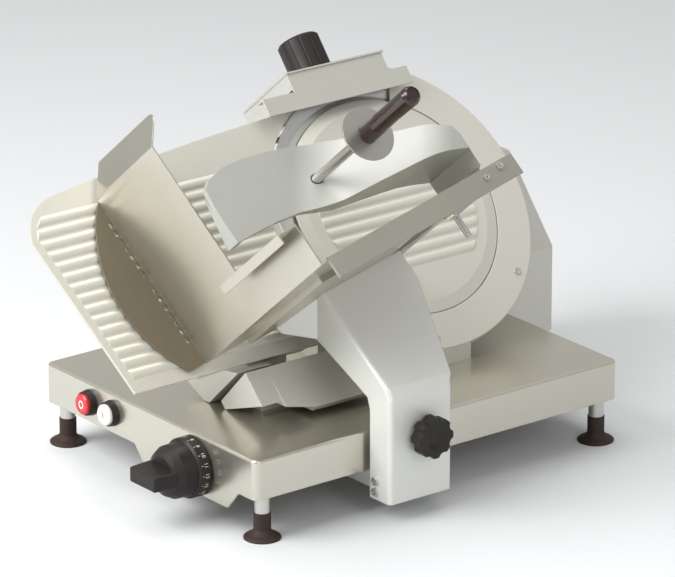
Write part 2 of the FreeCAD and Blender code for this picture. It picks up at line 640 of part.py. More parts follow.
def make_housing():
    y0 = BLADE_Y - HOUSING_FRONT_REACH
    y1 = HALF_L + HOUSING_OVERHANG
    wall = HOUSING_WALL
    outline = housing_outline(0)
    left, front = outline[4][0], outline[0][0]
    low = BASE_TOP - HOUSING_DROP
    shell = side_prism(outline, y0, y1).fuse(block(left, front, HALF_L, y1, low, BASE_TOP))
    shell = shell.removeSplitter()
    inner = housing_outline(wall)
    hollow = side_prism([(x, z if z > BASE_TOP else BASE_TOP - 1) for x, z in inner], y0 + wall, y1 - wall)
    hollow = hollow.fuse(block(left + wall, front - wall, HALF_L + wall, y1 - wall,
                               low + wall, BASE_TOP + 1))
    keep_wall = block(left, front, HALF_L, HALF_L + wall, low, BASE_TOP)
    shell = shell.cut(hollow.cut(keep_wall))
    flange = block(left + wall, front - wall, y0 + wall, HALF_L + wall, BASE_TOP, BASE_TOP + wall)
    edge = HOUSING_FLANGE + wall
    flange = flange.cut(block(left + edge, front - edge, y0 + edge, HALF_L + wall + 1, 0, BASE_TOP + 10))
    shell = shell.fuse(flange)
    tie = on_blade(rod(TIE_BOSS_RADIUS, Vector(0, 0, SEAT_GAP - TIE_ROD_REACH),
            Vector(0, 0, TIE_BOSS_LENGTH - TIE_ROD_REACH)))
    shell = shell.fuse(tie)
    shell = shell.cut(on_blade(rod(BEARING_HOUSING_RADIUS + FIT_GAP, Vector(0, 0, -75), Vector(0, 0, -40))))
    shell = shell.cut(on_blade(rod(TIE_ROD_RADIUS + RUN_GAP, Vector(0, 0, -TIE_ROD_REACH - TIE_BOSS_RADIUS),
                                Vector(0, 0, TIE_BOSS_LENGTH + TIE_BOSS_RADIUS - TIE_ROD_REACH))))
    for x, y in housing_screw_places():
        shell = shell.cut(rod(3 + FIT_GAP, Vector(x, y, BASE_TOP - 1), Vector(x, y, BASE_TOP + wall + 1)))
    x0, x1, sy0, sy1, sz0, sz1 = service_box()
    shell = shell.cut(block(x1 - 1, x1 + wall + 1, sy0 + SERVICE_LAP, sy1 - SERVICE_LAP,
                            sz0 + SERVICE_LAP, sz1 - SERVICE_LAP))
    for y, z in service_screw_places():
        shell = shell.cut(rod(SCREW_RADIUS + FIT_GAP, Vector(x1 - 1, y, z), Vector(x1 + wall + 1, y, z)))
    for x, y in circle_points(BEARING_FLANGE_RADIUS - 7, 4, 45):
        shell = shell.cut(on_blade(rod(3 + FIT_GAP, Vector(x, y, -70), Vector(x, y, -50))))
    for x, y in motor_screw_places():
        shell = shell.cut(on_blade(rod(3 + FIT_GAP, Vector(x, y, -70), Vector(x, y, -50))))
    for x, y in post_screw_places():
        shell = shell.cut(on_blade(rod(3 + FIT_GAP, Vector(x, y, -70), Vector(x, y, -50))))
    node("motor_housing", shell.removeSplitter())
    for x, y in housing_screw_places():
        BASE_SCREWS.append(fixing(Vector(x, y, BASE_TOP - BASE_WALL), Vector(0, 0, -1), BASE_WALL + wall + 4))


def service_box():
    left = -HALF_W + HOUSING_LEFT_INSET
    y1 = HALF_L + HOUSING_OVERHANG - 30
    z0 = BASE_TOP + 20
    return left - SERVICE_THICKNESS, left, y1 - SERVICE_WIDTH, y1, z0, z0 + SERVICE_HEIGHT


def service_screw_places():
    _, _, y0, y1, z0, z1 = service_box()
    half = SERVICE_LAP / 2
    return [(y, z) for y in (y0 + half, y1 - half) for z in (z0 + half, z1 - half)]


def make_service_cover():
    x0, x1, y0, y1, z0, z1 = service_box()
    cover = block(x0, x1, y0, y1, z0, z1)
    cover = cover.makeFillet(6, edges_along(cover, Vector(1, 0, 0)))
    for y, z in service_screw_places():
        cover = cover.cut(rod(SCREW_RADIUS + FIT_GAP, Vector(x0 - 1, y, z), Vector(x1 + 1, y, z)))
        HOUSING_SCREWS.append(fixing(Vector(x0, y, z), Vector(-1, 0, 0), 7, SCREW_RADIUS + 1.2))
    node("service_cover", cover)


# ---------------------------------------------------------------- blade support and drive
def make_bearing_housing():
    face = -HOUSING_FACE_DEPTH
    front = -BOWL_FLOOR_DEPTH
    outline = [(BEARING_OUTER - 4, face - BEARING_HOUSING_LENGTH),
            (BEARING_HOUSING_RADIUS, face - BEARING_HOUSING_LENGTH),
               (BEARING_HOUSING_RADIUS, face), (BEARING_FLANGE_RADIUS, face),
               (BEARING_FLANGE_RADIUS, face + BEARING_FLANGE_THICKNESS), (NECK_RADIUS,
                       face + BEARING_FLANGE_THICKNESS),
               (NECK_RADIUS, front - 6), (NECK_RADIUS + 12, front), (BEARING_OUTER - 4, front)]
    body = spun(outline)
    seat = BEARING_OUTER + FIT_GAP
    for low in bearing_places():
        body = body.cut(rod(seat, Vector(0, 0, low), Vector(0, 0, low + BEARING_WIDTH)))
    body = body.cut(rod(seat, Vector(0, 0, bearing_places()[0] - 40), Vector(0, 0, bearing_places()[0])))
    body = body.cut(rod(seat, Vector(0, 0, bearing_places()[1]), Vector(0, 0, 0)))
    for x, y in circle_points(BEARING_FLANGE_RADIUS - 7, 4, 45):
        body = body.cut(rod(3 + FIT_GAP, Vector(x, y, face - 1), Vector(x, y, front + 1)))
    for x, y in circle_points(NECK_RADIUS + 5, 6, 15):
        body = body.cut(rod(SCREW_RADIUS + FIT_GAP, Vector(x, y, front - 20), Vector(x, y, front + 1)))
    node("bearing_housing", on_blade(body.removeSplitter()))
    for x, y in circle_points(BEARING_FLANGE_RADIUS - 7, 4, 45):
        at = Vector(x, y, face + BEARING_FLANGE_THICKNESS)
        HOUSING_SCREWS.append(on_blade(fixing(at, Vector(0, 0, 1),
                BEARING_FLANGE_THICKNESS + HOUSING_WALL + 3)))


def bearing_places():
    return (-HOUSING_FACE_DEPTH - BEARING_HOUSING_LENGTH + 3, -BOWL_FLOOR_DEPTH - 6 - BEARING_WIDTH)


def make_bearings():
    rings = []
    for low in bearing_places():
        ring = pipe(BEARING_OUTER, SHAFT_RADIUS + RUN_GAP, Vector(0, 0, low),
                Vector(0, 0, low + BEARING_WIDTH))
        middle = (BEARING_OUTER + SHAFT_RADIUS) / 2
        for groove in (low, low + BEARING_WIDTH - 1):
            ring = ring.cut(pipe(middle + 2.5, middle - 2.5, Vector(0, 0, groove), Vector(0, 0, groove + 1)))
        rings.append(on_blade(ring))
    node("blade_bearings", group(rings))


def make_bowl():
    back, floor = -BOWL_FLOOR_DEPTH, -BOWL_FLOOR_DEPTH + BOWL_FLOOR_THICKNESS
    disc = rod(RING_INNER, Vector(0, 0, back), Vector(0, 0, floor))
    wing = sector(RING_INNER - 2, RING_RADIUS, RING_START, RING_END, back, floor)
    rim = sector(RING_RADIUS - BOWL_RIM_WALL, RING_RADIUS, RING_START, RING_END, back,
                 RING_PROUD - RING_THICKNESS)
    body = union([disc, wing, rim] + [
        rod(5, Vector(*ring_screw_at(a), back), Vector(*ring_screw_at(a), RING_PROUD - RING_THICKNESS))
        for a in RING_SCREW_ANGLES])
    body = body.cut(rod(HUB_RADIUS + 3, Vector(0, 0, back - 1), Vector(0, 0, floor + 1)))
    ledge = pipe(HUB_RADIUS + 4, BEARING_OUTER + 4, Vector(0, 0, back), Vector(0, 0, back + 2.5))
    body = body.fuse(ledge)
    for x, y in circle_points(NECK_RADIUS + 5, 6, 15):
        body = body.cut(rod(SCREW_RADIUS + FIT_GAP, Vector(x, y, back - 1), Vector(x, y, floor + 1)))
    for a in RING_SCREW_ANGLES:
        x, y = ring_screw_at(a)
        body = body.cut(rod(SCREW_RADIUS + FIT_GAP, Vector(x, y, -16), Vector(x, y, 10)))
    node("blade_bowl", on_blade(body.removeSplitter()))
    for x, y in circle_points(NECK_RADIUS + 5, 6, 15):
        HOUSING_SCREWS.append(on_blade(fixing(Vector(x, y, floor), Vector(0, 0, 1),
                BOWL_FLOOR_THICKNESS + 10)))


def ring_screw_at(angle):
    return (RING_SCREW_CIRCLE * math.cos(math.radians(angle)),
            RING_SCREW_CIRCLE * math.sin(math.radians(angle)))


def make_ring():
    low = RING_PROUD - RING_THICKNESS
    plate = sector(RING_INNER, RING_RADIUS, RING_START, RING_END, low, RING_PROUD)
    outer = [e for e in plate.Edges if isinstance(e.Curve, Part.Circle)
             and abs(e.Curve.Radius - RING_RADIUS) < 1e-6 and e.CenterOfMass.z > (low + RING_PROUD) / 2]
    plate = plate.makeFillet(RING_THICKNESS / 2, outer)
    for a in RING_SCREW_ANGLES:
        x, y = ring_screw_at(a)
        plate = plate.cut(rod(SCREW_RADIUS + HOLE_GAP, Vector(x, y, low - 1), Vector(x, y, RING_PROUD + 1)))
    node("ring_guard", on_blade(plate))
    one = screw(SCREW_HEAD_RADIUS, 1.4, SCREW_RADIUS, 15)
    for a in RING_SCREW_ANGLES:
        HOUSING_SCREWS.append(on_blade(aimed(one, Vector(*ring_screw_at(a), RING_PROUD), Vector(0, 0, 1))))


def ring_foot_screw_places():
    x = BLADE_CENTRE.x - UPSLOPE.x * RING_RADIUS - RING_FOOT_DEPTH / 2
    return [(x, BLADE_Y - RING_FOOT_WIDTH / 3), (x, BLADE_Y + RING_FOOT_WIDTH / 3)]


def make_ring_foot():
    """Block between the base's top and the lowest part of the bowl's rim."""
    x1 = BLADE_CENTRE.x - UPSLOPE.x * RING_RADIUS
    foot = block(x1 - RING_FOOT_DEPTH, x1, BLADE_Y - RING_FOOT_WIDTH / 2, BLADE_Y + RING_FOOT_WIDTH / 2,
                 BASE_TOP, BASE_TOP + 60)
    rim = on_blade(rod(RING_RADIUS, Vector(0, 0, -60), Vector(0, 0, 40)))
    foot = foot.cut(rim)
    for x, y in ring_foot_screw_places():
        foot = foot.cut(rod(SCREW_RADIUS + FIT_GAP, Vector(x, y, BASE_TOP - 1), Vector(x, y, BASE_TOP + 10)))
        BASE_SCREWS.append(fixing(Vector(x, y, BASE_TOP - BASE_WALL), Vector(0, 0, -1), BASE_WALL + 8))
    node("ring_foot", foot.removeSplitter())


def make_blade():
    edge = -BLADE_EDGE_DEPTH
    front = edge - BLADE_HOLLOW
    back = front - BLADE_THICKNESS
    inner = SPIGOT_RADIUS + FIT_GAP
    profile = [(inner, back), (inner, front), (BLADE_RADIUS - BLADE_BEVEL, front),
               (BLADE_RADIUS, edge), (BLADE_RADIUS, edge - 0.4), (BLADE_RADIUS - BLADE_BEVEL / 2, back)]
    blade = spun(profile)
    for x, y in circle_points(BLADE_SCREW_CIRCLE, 4):
        blade = blade.cut(rod(3 + HOLE_GAP, Vector(x, y, back - 1), Vector(x, y, front + 1)))
    node("blade", on_blade(blade))
    shaft = rod(HUB_RADIUS - 3, Vector(0, 0, back - HUB_THICKNESS), Vector(0, 0, back))
    shaft = union([shaft, rod(SPIGOT_RADIUS, Vector(0, 0, back - 1), Vector(0, 0, front)),
                   rod(SHAFT_RADIUS, Vector(0, 0, -PULLEY_DEPTH - 4), Vector(0, 0, back))])
    shaft = shaft.cut(rod(SHAFT_BORE_RADIUS, Vector(0, 0, -PULLEY_DEPTH - 5), Vector(0, 0, 5)))
    for x, y in circle_points(BLADE_SCREW_CIRCLE, 4):
        shaft = shaft.cut(rod(3 + FIT_GAP, Vector(x, y, back - HUB_THICKNESS - 1), Vector(x, y, back + 1)))
    node("blade_shaft", on_blade(shaft))
    one = screw(5, 2, 3, BLADE_THICKNESS + HUB_THICKNESS - 1)
    node("blade_screws", group([on_blade(aimed(one, Vector(x, y, front), Vector(0, 0, 1)))
                                for x, y in circle_points(BLADE_SCREW_CIRCLE, 4)]))
    node("blade_pulley", on_blade(pulley(BLADE_PULLEY_RADIUS, SHAFT_RADIUS + FIT_GAP)))


def pulley(radius, bore):
    low = -PULLEY_DEPTH
    lip = 2.5
    profile = [(bore, low), (radius + 1.5, low), (radius + 1.5, low + 1), (radius, low + 1)]
    count = 3
    step = (PULLEY_WIDTH - 2) / count
    for k in range(count):
        base = low + 1 + k * step
        profile += [(radius, base + step * 0.25), (radius - lip / 2, base + step * 0.5),
                (radius, base + step * 0.75)]
    high = low + PULLEY_WIDTH
    profile += [(radius, high - 1), (radius + 1.5, high - 1), (radius + 1.5, high), (bore, high)]
    return spun(profile)


def make_motor():
    face = -HOUSING_FACE_DEPTH - HOUSING_WALL
    centre = Vector(MOTOR_OFFSET, 0, 0)
    body = rod(MOTOR_RADIUS, centre + Vector(0, 0, face - MOTOR_LENGTH), centre + Vector(0, 0, face))
    flange = rod(MOTOR_RADIUS + 4, centre + Vector(0, 0, face - 8), centre + Vector(0, 0, face))
    fins = [pipe(MOTOR_RADIUS + 1, MOTOR_RADIUS - 1, centre + Vector(0, 0, face - 20 - 8 * k),
                 centre + Vector(0, 0, face - 16 - 8 * k)) for k in range(7)]
    body = union([body, flange] + fins)
    far = face - MOTOR_LENGTH
    body = body.cut(rod(MOTOR_SHAFT_RADIUS + RUN_GAP, centre + Vector(0, 0, far - 1),
            centre + Vector(0, 0, far + 40)))
    for x, y in motor_screw_places():
        body = body.cut(rod(SCREW_RADIUS + FIT_GAP, Vector(x, y, face - 20), Vector(x, y, face + 1)))
        at = Vector(x, y, -HOUSING_FACE_DEPTH)
        HOUSING_SCREWS.append(on_blade(fixing(at, Vector(0, 0, 1), HOUSING_WALL + 12)))
    node("motor_body", on_blade(body.removeSplitter()))
    shaft = rod(MOTOR_SHAFT_RADIUS, centre + Vector(0, 0, -PULLEY_DEPTH - 3), centre + Vector(0, 0, far + 38))
    wheel = moved(pulley(MOTOR_PULLEY_RADIUS, MOTOR_SHAFT_RADIUS - 1), Placement(centre, Rotation()))
    node("motor_pulley", on_blade(union([shaft, wheel])))
    node("drive_belt", on_blade(belt()))


def motor_screw_places():
    return [(MOTOR_OFFSET + x, y) for x, y in circle_points(MOTOR_RADIUS - 8, 4, 45)]


def belt():
    """Loop round both pulleys, with its inner face a little off their crowns."""
    def loop(extra, low, high):
        big, small = BLADE_PULLEY_RADIUS + extra, MOTOR_PULLEY_RADIUS + extra
        lean = math.asin((big - small) / MOTOR_OFFSET)
        c, s = math.cos(lean), math.sin(lean)
        quad = [(big * s, big * c), (MOTOR_OFFSET + small * s, small * c),
                (MOTOR_OFFSET + small * s, -small * c), (big * s, -big * c)]
        return union([rod(big, Vector(0, 0, low), Vector(0, 0, high)),
                      rod(small, Vector(MOTOR_OFFSET, 0, low), Vector(MOTOR_OFFSET, 0, high)),
                      prism(quad, low, high)])
    low = -PULLEY_DEPTH + (PULLEY_WIDTH - BELT_WIDTH) / 2
    high = low + BELT_WIDTH
    return loop(SEAT_GAP + BELT_THICKNESS, low, high).cut(loop(SEAT_GAP, low - 1, high + 1))


def make_cover():
    top = COVER_TOP
    low = COVER_RIM_TOP - COVER_RIM_HEIGHT
    profile = [(0, top - COVER_SKIN), (0, top), (COVER_PLATEAU, top), (COVER_RADIUS, low + COVER_RIM_HEIGHT),
               (COVER_RADIUS, low), (COVER_RADIUS - 2, low), (COVER_PLATEAU - 1, top - COVER_SKIN)]
    body = spun(profile)
    first = RIB_PITCH * (COVER_RIB_ROWS - 1) / 2
    bars = union(ribs(COVER_RIB_ROWS, first, -COVER_RADIUS, COVER_RADIUS, top))
    field = rod(COVER_RIB_RADIUS, Vector(0, 0, top - 0.4), Vector(0, 0, top + RIB_HEIGHT))
    boss = rod(TIE_ROD_RADIUS + 6, Vector(0, 0, -5), Vector(0, 0, top - 1))
    body = union([body, boss] + [bar for bar in bars.common(field).Solids])
    body = body.cut(rod(TIE_ROD_RADIUS + RUN_GAP, Vector(0, 0, -6), Vector(0, 0, top - 0.9)))
    node("blade_cover", on_blade(body))
    far = -TIE_ROD_REACH
    tie = rod(TIE_ROD_RADIUS, Vector(0, 0, far - 1), Vector(0, 0, top - 1.2))
    knob = rod(TIE_KNOB_RADIUS, Vector(0, 0, far - TIE_KNOB_LENGTH), Vector(0, 0, far))
    for x, y in circle_points(TIE_KNOB_RADIUS + 1.6, 8):
        knob = knob.cut(rod(3, Vector(x, y, far - TIE_KNOB_LENGTH - 1), Vector(x, y, far + 1)))
    node("cover_tie_rod", on_blade(union([tie, knob])))


# ---------------------------------------------------------------- controls
def make_buttons():
    collars, switches = [], []
    z = FOOT_HEIGHT + BUTTON_HEIGHT
    panel = -HALF_L
    inside = -HALF_L + BASE_WALL
    for name, x in (("stop_button", STOP_X), ("start_button", START_X)):
        collar = spun([(BUTTON_RADIUS + RUN_GAP * 4, 0), (COLLAR_RADIUS, 0),
                (COLLAR_RADIUS - 1.5, COLLAR_LENGTH),
                       (BUTTON_RADIUS + RUN_GAP * 4, COLLAR_LENGTH)])
        sleeve = pipe(BUTTON_STEM_RADIUS + 3 - FIT_GAP, BUTTON_STEM_RADIUS + RUN_GAP,
                      Vector(0, 0, -BASE_WALL - 4), Vector(0, 0, 0))
        lip = pipe(BUTTON_RADIUS + 2, BUTTON_STEM_RADIUS + RUN_GAP, Vector(0, 0, 0), Vector(0, 0, 1.2))
        collars.append(aimed(union([collar, sleeve, lip]), Vector(x, panel, z), Vector(0, -1, 0)))
        cap = spun([(0, 1.2 + BUTTON_TRAVEL + 1), (BUTTON_RADIUS, 1.2 + BUTTON_TRAVEL + 1),
                    (BUTTON_RADIUS, COLLAR_LENGTH + BUTTON_PROUD - 1.5),
                    (BUTTON_RADIUS - 1.5, COLLAR_LENGTH + BUTTON_PROUD), (0, COLLAR_LENGTH + BUTTON_PROUD)])
        stem = rod(BUTTON_STEM_RADIUS, Vector(0, 0, -BASE_WALL - 4), Vector(0, 0, COLLAR_LENGTH))
        node(name, aimed(union([cap, stem]), Vector(x, panel, z), Vector(0, -1, 0)))
        back = inside + 4 + BUTTON_TRAVEL + 1
        box = block(x - SWITCH_WIDTH / 2, x + SWITCH_WIDTH / 2, inside, back + SWITCH_LENGTH,
                    z - SWITCH_HEIGHT / 2, z + SWITCH_HEIGHT / 2 - 2)
        box = box.cut(rod(BUTTON_STEM_RADIUS + 4, Vector(x, inside - 1, z), Vector(x, back, z)))
        switches.append(box)
    node("button_collars", group(collars))
    node("switch_blocks", group(switches))


def make_gland():
    z = FOOT_HEIGHT + ROD_HEIGHT
    body = union([rod(GLAND_RADIUS, Vector(GLAND_X, HALF_L - BASE_WALL - 6, z), Vector(GLAND_X, HALF_L, z)),
                  rod(GLAND_RADIUS + 4, Vector(GLAND_X, HALF_L, z), Vector(GLAND_X, HALF_L + 6, z)),
                  rod(GLAND_RADIUS + 1, Vector(GLAND_X, HALF_L, z),
                          Vector(GLAND_X, HALF_L + GLAND_LENGTH, z)),
                  rod(GLAND_RADIUS + 4, Vector(GLAND_X, HALF_L - BASE_WALL - 5, z),
                          Vector(GLAND_X, HALF_L - BASE_WALL, z))])
    node("cable_gland", body.cut(rod(4, Vector(GLAND_X, 0, z), Vector(GLAND_X, HALF_L + 40, z))))


def make_knob():
    z = FOOT_HEIGHT + KNOB_HEIGHT
    panel = -HALF_L
    at = Vector(KNOB_X, panel, z)
    back = Vector(0, -1, 0)
    low = SEAT_GAP
    dial = spun([(SPINDLE_RADIUS + FIT_GAP, low), (DIAL_RADIUS - 2, low), (DIAL_RADIUS, low + 2),
                 (DIAL_RADIUS, low + DIAL_LENGTH - 3), (DIAL_RADIUS - 3, low + DIAL_LENGTH),
                 (SPINDLE_RADIUS + FIT_GAP, low + DIAL_LENGTH)])
    for x, y in circle_points(DIAL_RADIUS, 60):
        dial = dial.cut(rod(0.7, Vector(x, y, low + 1), Vector(x, y, low + 6)))
    node("thickness_dial", aimed(dial, at, back))
    start = low + DIAL_LENGTH
    top = start + GRIP_HUB_LENGTH
    hub = spun([(0, start), (GRIP_HUB_RADIUS + 2, start),
            (GRIP_HUB_RADIUS + 1, start + GRIP_HUB_LENGTH * 0.6),
                (GRIP_HUB_RADIUS - 4, top - 3), (GRIP_HUB_RADIUS - 10, top), (0, top)])
    half = GRIP_BAR_WIDTH / 2
    free = top + GRIP_BAR_PROUD
    bar = side_prism([(-GRIP_BAR_ROOT / 2, start), (-GRIP_BAR_LENGTH / 2, free),
                      (GRIP_BAR_LENGTH / 2, free), (GRIP_BAR_ROOT / 2, start)], -half, half)
    bar = bar.makeFillet(GRIP_BAR_EDGE, [edge for edge in bar.Edges if edge.CenterOfMass.z > start + 1])
    grip = union([hub, bar]).cut(rod(SPINDLE_RADIUS + FIT_GAP, Vector(0, 0, start - 1), Vector(0, 0, top)))
    node("thickness_grip", aimed(grip, at, back))
    spindle = rod(SPINDLE_RADIUS, Vector(0, 0, -SPINDLE_LENGTH), Vector(0, 0, top - 1))
    collar = rod(SPINDLE_COLLAR, Vector(0, 0, -BASE_WALL - SEAT_GAP - 4), Vector(0, 0, -BASE_WALL - SEAT_GAP))
    cam = prism(cam_outline(), -SPINDLE_LENGTH, -SPINDLE_LENGTH + CAM_THICKNESS)
    node("thickness_spindle", aimed(union([spindle, collar, cam]), at, back))


def cam_outline():
    """Spiral that pushes the follower away by the gauge's travel over the knob's range."""
    points = []
    for step in range(-2, 25):
        turned = KNOB_RANGE * min(max(step, 0), 24) / 24 - (12.0 * -min(step, 0))
        radius = CAM_RADIUS + GAUGE_TRAVEL * max(turned, 0) / KNOB_RANGE
        angle = math.radians(180 - turned)
        points.append((radius * math.cos(angle), radius * math.sin(angle)))
    last = math.radians(180 - KNOB_RANGE - 14)
    radius = CAM_RADIUS + GAUGE_TRAVEL
    points.append((radius * math.cos(last), radius * math.sin(last)))
    return points


# ---------------------------------------------------------------- gauge plate
def gauge_outline():
    """Closed wire of the plate: straight foot and side, rounded shoulder, bowed top, blade cut-out."""
    foot_left = Vector(-GAUGE_LEFT_LOW, -GAUGE_BOTTOM, 0)
    shoulder = Vector(-GAUGE_LEFT_HIGH, GAUGE_SHOULDER, 0)
    top_left = Vector(-GAUGE_TOP_LEFT, GAUGE_TOP_LEFT_RISE, 0)
    middle = Vector(-GAUGE_TOP_MIDDLE, GAUGE_TOP_MIDDLE_RISE, 0)
    radius = GAUGE_CUT_RADIUS
    top_right = Vector(-math.sqrt(radius ** 2 - GAUGE_TOP_RISE ** 2), GAUGE_TOP_RISE, 0)
    foot_right = Vector(-math.sqrt(radius ** 2 - GAUGE_BOTTOM ** 2), -GAUGE_BOTTOM, 0)
    bulge = Vector(-GAUGE_LEFT_HIGH + 17, GAUGE_SHOULDER + 35, 0)
    edges = [Part.LineSegment(foot_left, shoulder), Part.Arc(shoulder, bulge, top_left),
             Part.Arc(top_left, middle, top_right), Part.Arc(top_right, Vector(-radius, 0, 0), foot_right),
             Part.LineSegment(foot_right, foot_left)]
    return Part.Wire([edge.toShape() for edge in edges])


def make_gauge():
    face = -RIB_HEIGHT
    plate = Part.Face(gauge_outline()).extrude(Vector(0, 0, -GAUGE_THICKNESS))
    plate = moved(plate, Placement(Vector(0, 0, face), Rotation()))
    field_wire = gauge_outline().makeOffset2D(-GAUGE_RIB_MARGIN)
    field = Part.Face(field_wire).extrude(Vector(0, 0, RIB_HEIGHT + 0.8))
    field = moved(field, Placement(Vector(0, 0, face - 0.4), Rotation()))
    bars = union(ribs(GAUGE_RIB_ROWS, GAUGE_RIB_TOP, -GAUGE_LEFT_HIGH, 0, face))
    plate = union([plate] + list(bars.common(field).Solids))
    node("gauge_plate", on_blade(plate))


def carrier_stem():
    """X and Y range of the carrier's foot where it goes through the base's top."""
    return CARRIER_LEFT_X, CARRIER_LEFT_X + CARRIER_WIDTH, CARRIER_STEM_Y, CARRIER_STEM_Y + CARRIER_STEM_LENGTH


def plate_back_z(x):
    """Height of the gauge plate's back face at an X."""
    depth = RIB_HEIGHT + GAUGE_THICKNESS
    return BLADE_CENTRE.z + (-depth - (x - BLADE_CENTRE.x) * OUT.x) / OUT.z


def make_carrier():
    back = -RIB_HEIGHT - GAUGE_THICKNESS
    x0, x1, y0, y1 = carrier_stem()
    low = BASE_TOP + CARRIER_GAP
    column = side_prism([(x0, low), (x1, low), (x1, plate_back_z(x1)), (x0 + 8, plate_back_z(x0 + 8)),
                         (x0, plate_back_z(x0 + 8) - 10)], y0, y1)
    nose = side_prism([(x0 + x, low + z) for x, z in CARRIER_NOSE], CARRIER_FRONT_Y, y0 + 1)
    left = y0 - BLADE_Y - FLANGE_OVERLAP
    right = y1 - BLADE_Y + FLANGE_OVERLAP
    flange = on_blade(block(left, right, -GAUGE_BOTTOM + 1, FLANGE_TOP, back - FLANGE_THICKNESS, back))
    follower_z = FOOT_HEIGHT + KNOB_HEIGHT
    stem = block(x0 + 20, x1, y0, y1, follower_z - 4, low + 1)
    cam_y = -HALF_L + SPINDLE_LENGTH
    bar = block(x1 - FOLLOWER_WIDTH, x1, cam_y - CAM_THICKNESS, y0 + 1, follower_z - 4, follower_z + 12)
    tip = KNOB_X - CAM_RADIUS - CAM_GAP
    pin = block(x1 - 1, tip, cam_y - CAM_THICKNESS + 1, cam_y - 1, follower_z - 3, follower_z + 3)
    body = union([column, nose, flange, stem, bar, pin])
    for y in guide_rod_places():
        z = BASE_TOP + GUIDE_ROD_Z
        body = body.cut(rod(GUIDE_ROD_RADIUS + RUN_GAP, Vector(x0 - 5, y, z), Vector(x1 + 5, y, z)))
    plate = NODES["gauge_plate"]
    screws = []
    for x in (left + FLANGE_OVERLAP / 2, right - FLANGE_OVERLAP / 2):
        for y in (-GAUGE_BOTTOM + 30, FLANGE_TOP - 15):
            hole = on_blade(rod(SCREW_RADIUS + FIT_GAP, Vector(x, y, back - FLANGE_THICKNESS - 1),
                    Vector(x, y, back + 2.5)))
            plate = plate.cut(hole)
            body = body.cut(hole)
            screws.append(on_blade(fixing(Vector(x, y, back - FLANGE_THICKNESS), Vector(0, 0, -1),
                    FLANGE_THICKNESS + 2)))
    node("gauge_plate", plate)
    node("gauge_carrier", body.removeSplitter())
    node("gauge_screws", group(screws))


def guide_rod_places():
    x0, x1, y0, y1 = carrier_stem()
    return (y0 + 12, y1 - 12)


def casting_screw_places():
    x = CASTING_LEFT_X + 15
    return [(x, CASTING_FRONT_Y + CASTING_LENGTH / 2 + 24), (x, CASTING_FRONT_Y + CASTING_LENGTH - 14)]


def make_slide_casting():
    """Fixed guide beside the carrier, with a face parallel to the plate and its right part off the base."""
    x0, x1, y0, y1 = carrier_stem()
    left = CASTING_LEFT_X
    front_y, far_y = CASTING_FRONT_Y, CASTING_FRONT_Y + CASTING_LENGTH
    step_y = front_y + CASTING_FRONT_LENGTH
    front = side_prism([(left + x, BASE_TOP + z) for x, z in CASTING_FRONT_SHAPE], front_y, step_y + 1)
    rest = side_prism([(left + x, BASE_TOP + z) for x, z in CASTING_SHAPE], step_y, far_y)
    high, low = CASTING_FRONT_SHAPE[3][1], CASTING_SHAPE[3][1]
    end_y = front_y + CASTING_STEP_LENGTH
    wedge = [(front_y - 1, 0), (front_y - 1, high), (end_y, low), (end_y, 0)]
    corners = [Vector(left + CASTING_SHAPE[5][0] + 6, y, BASE_TOP + z) for y, z in wedge]
    wedge = Part.Face(Part.makePolygon(corners + corners[:1])).extrude(Vector(2 * CASTING_WIDTH, 0, 0))
    body = union([front, rest.cut(wedge)])
    rods = []
    z = BASE_TOP + GUIDE_ROD_Z
    for y in guide_rod_places():
        body = body.cut(rod(GUIDE_ROD_RADIUS + FIT_GAP, Vector(left - 12, y, z),
                Vector(left + GUIDE_ROD_GRIP, y, z)))
        rods.append(rod(GUIDE_ROD_RADIUS, Vector(x0 - GAUGE_TRAVEL - 4, y, z),
                Vector(left + GUIDE_ROD_GRIP, y, z)))
    for x, y in casting_screw_places():
        body = body.cut(rod(SCREW_RADIUS + FIT_GAP, Vector(x, y, BASE_TOP - 1), Vector(x, y, BASE_TOP + 14)))
        BASE_SCREWS.append(fixing(Vector(x, y, BASE_TOP - BASE_WALL), Vector(0, 0, -1), BASE_WALL + 12))
    node("gauge_slide_casting", body.removeSplitter())
    node("gauge_guide_rods", group(rods))


# ---------------------------------------------------------------- carriage
def make_guide_rods():
    z = FOOT_HEIGHT + ROD_HEIGHT
    y = HALF_L - BASE_WALL
    main = rod(ROD_MAIN_RADIUS, Vector(ROD_MAIN_X, -y, z), Vector(ROD_MAIN_X, y, z))
    support = rod(ROD_AUX_RADIUS, Vector(ROD_AUX_X, -y, z), Vector(ROD_AUX_X, y, z))
    node("carriage_guide_rods", group([main, support]))


def slide_range():
    middle = ARM_NEAR_Y + ARM_WIDTH / 2
    return middle - SLIDE_LENGTH / 2, middle + SLIDE_LENGTH / 2


def make_slide():
    y0, y1 = slide_range()
    z = FOOT_HEIGHT + ROD_HEIGHT
    half = SLIDE_HEIGHT / 2
    body = block(ROD_AUX_X - 12, ROD_MAIN_X + 16, y0, y1, z - half, z + half)
    body = body.cut(rod(ROD_MAIN_RADIUS + RUN_GAP, Vector(ROD_MAIN_X, y0 - 1, z),
            Vector(ROD_MAIN_X, y1 + 1, z)))
    body = body.cut(rod(ROD_AUX_RADIUS + RUN_GAP, Vector(ROD_AUX_X, y0 - 1, z), Vector(ROD_AUX_X, y1 + 1, z)))
    for x, y in link_screw_places():
        body = body.cut(rod(SCREW_RADIUS + FIT_GAP, Vector(x, y, z - half - 1), Vector(x, y, z + half - 4)))
    node("carriage_slide_block", body)


def link_screw_places():
    y0, y1 = slide_range()
    return [(x, y) for x in (ROD_MAIN_X - 20, ROD_MAIN_X - 38) for y in (y0 + 14, y1 - 14)]


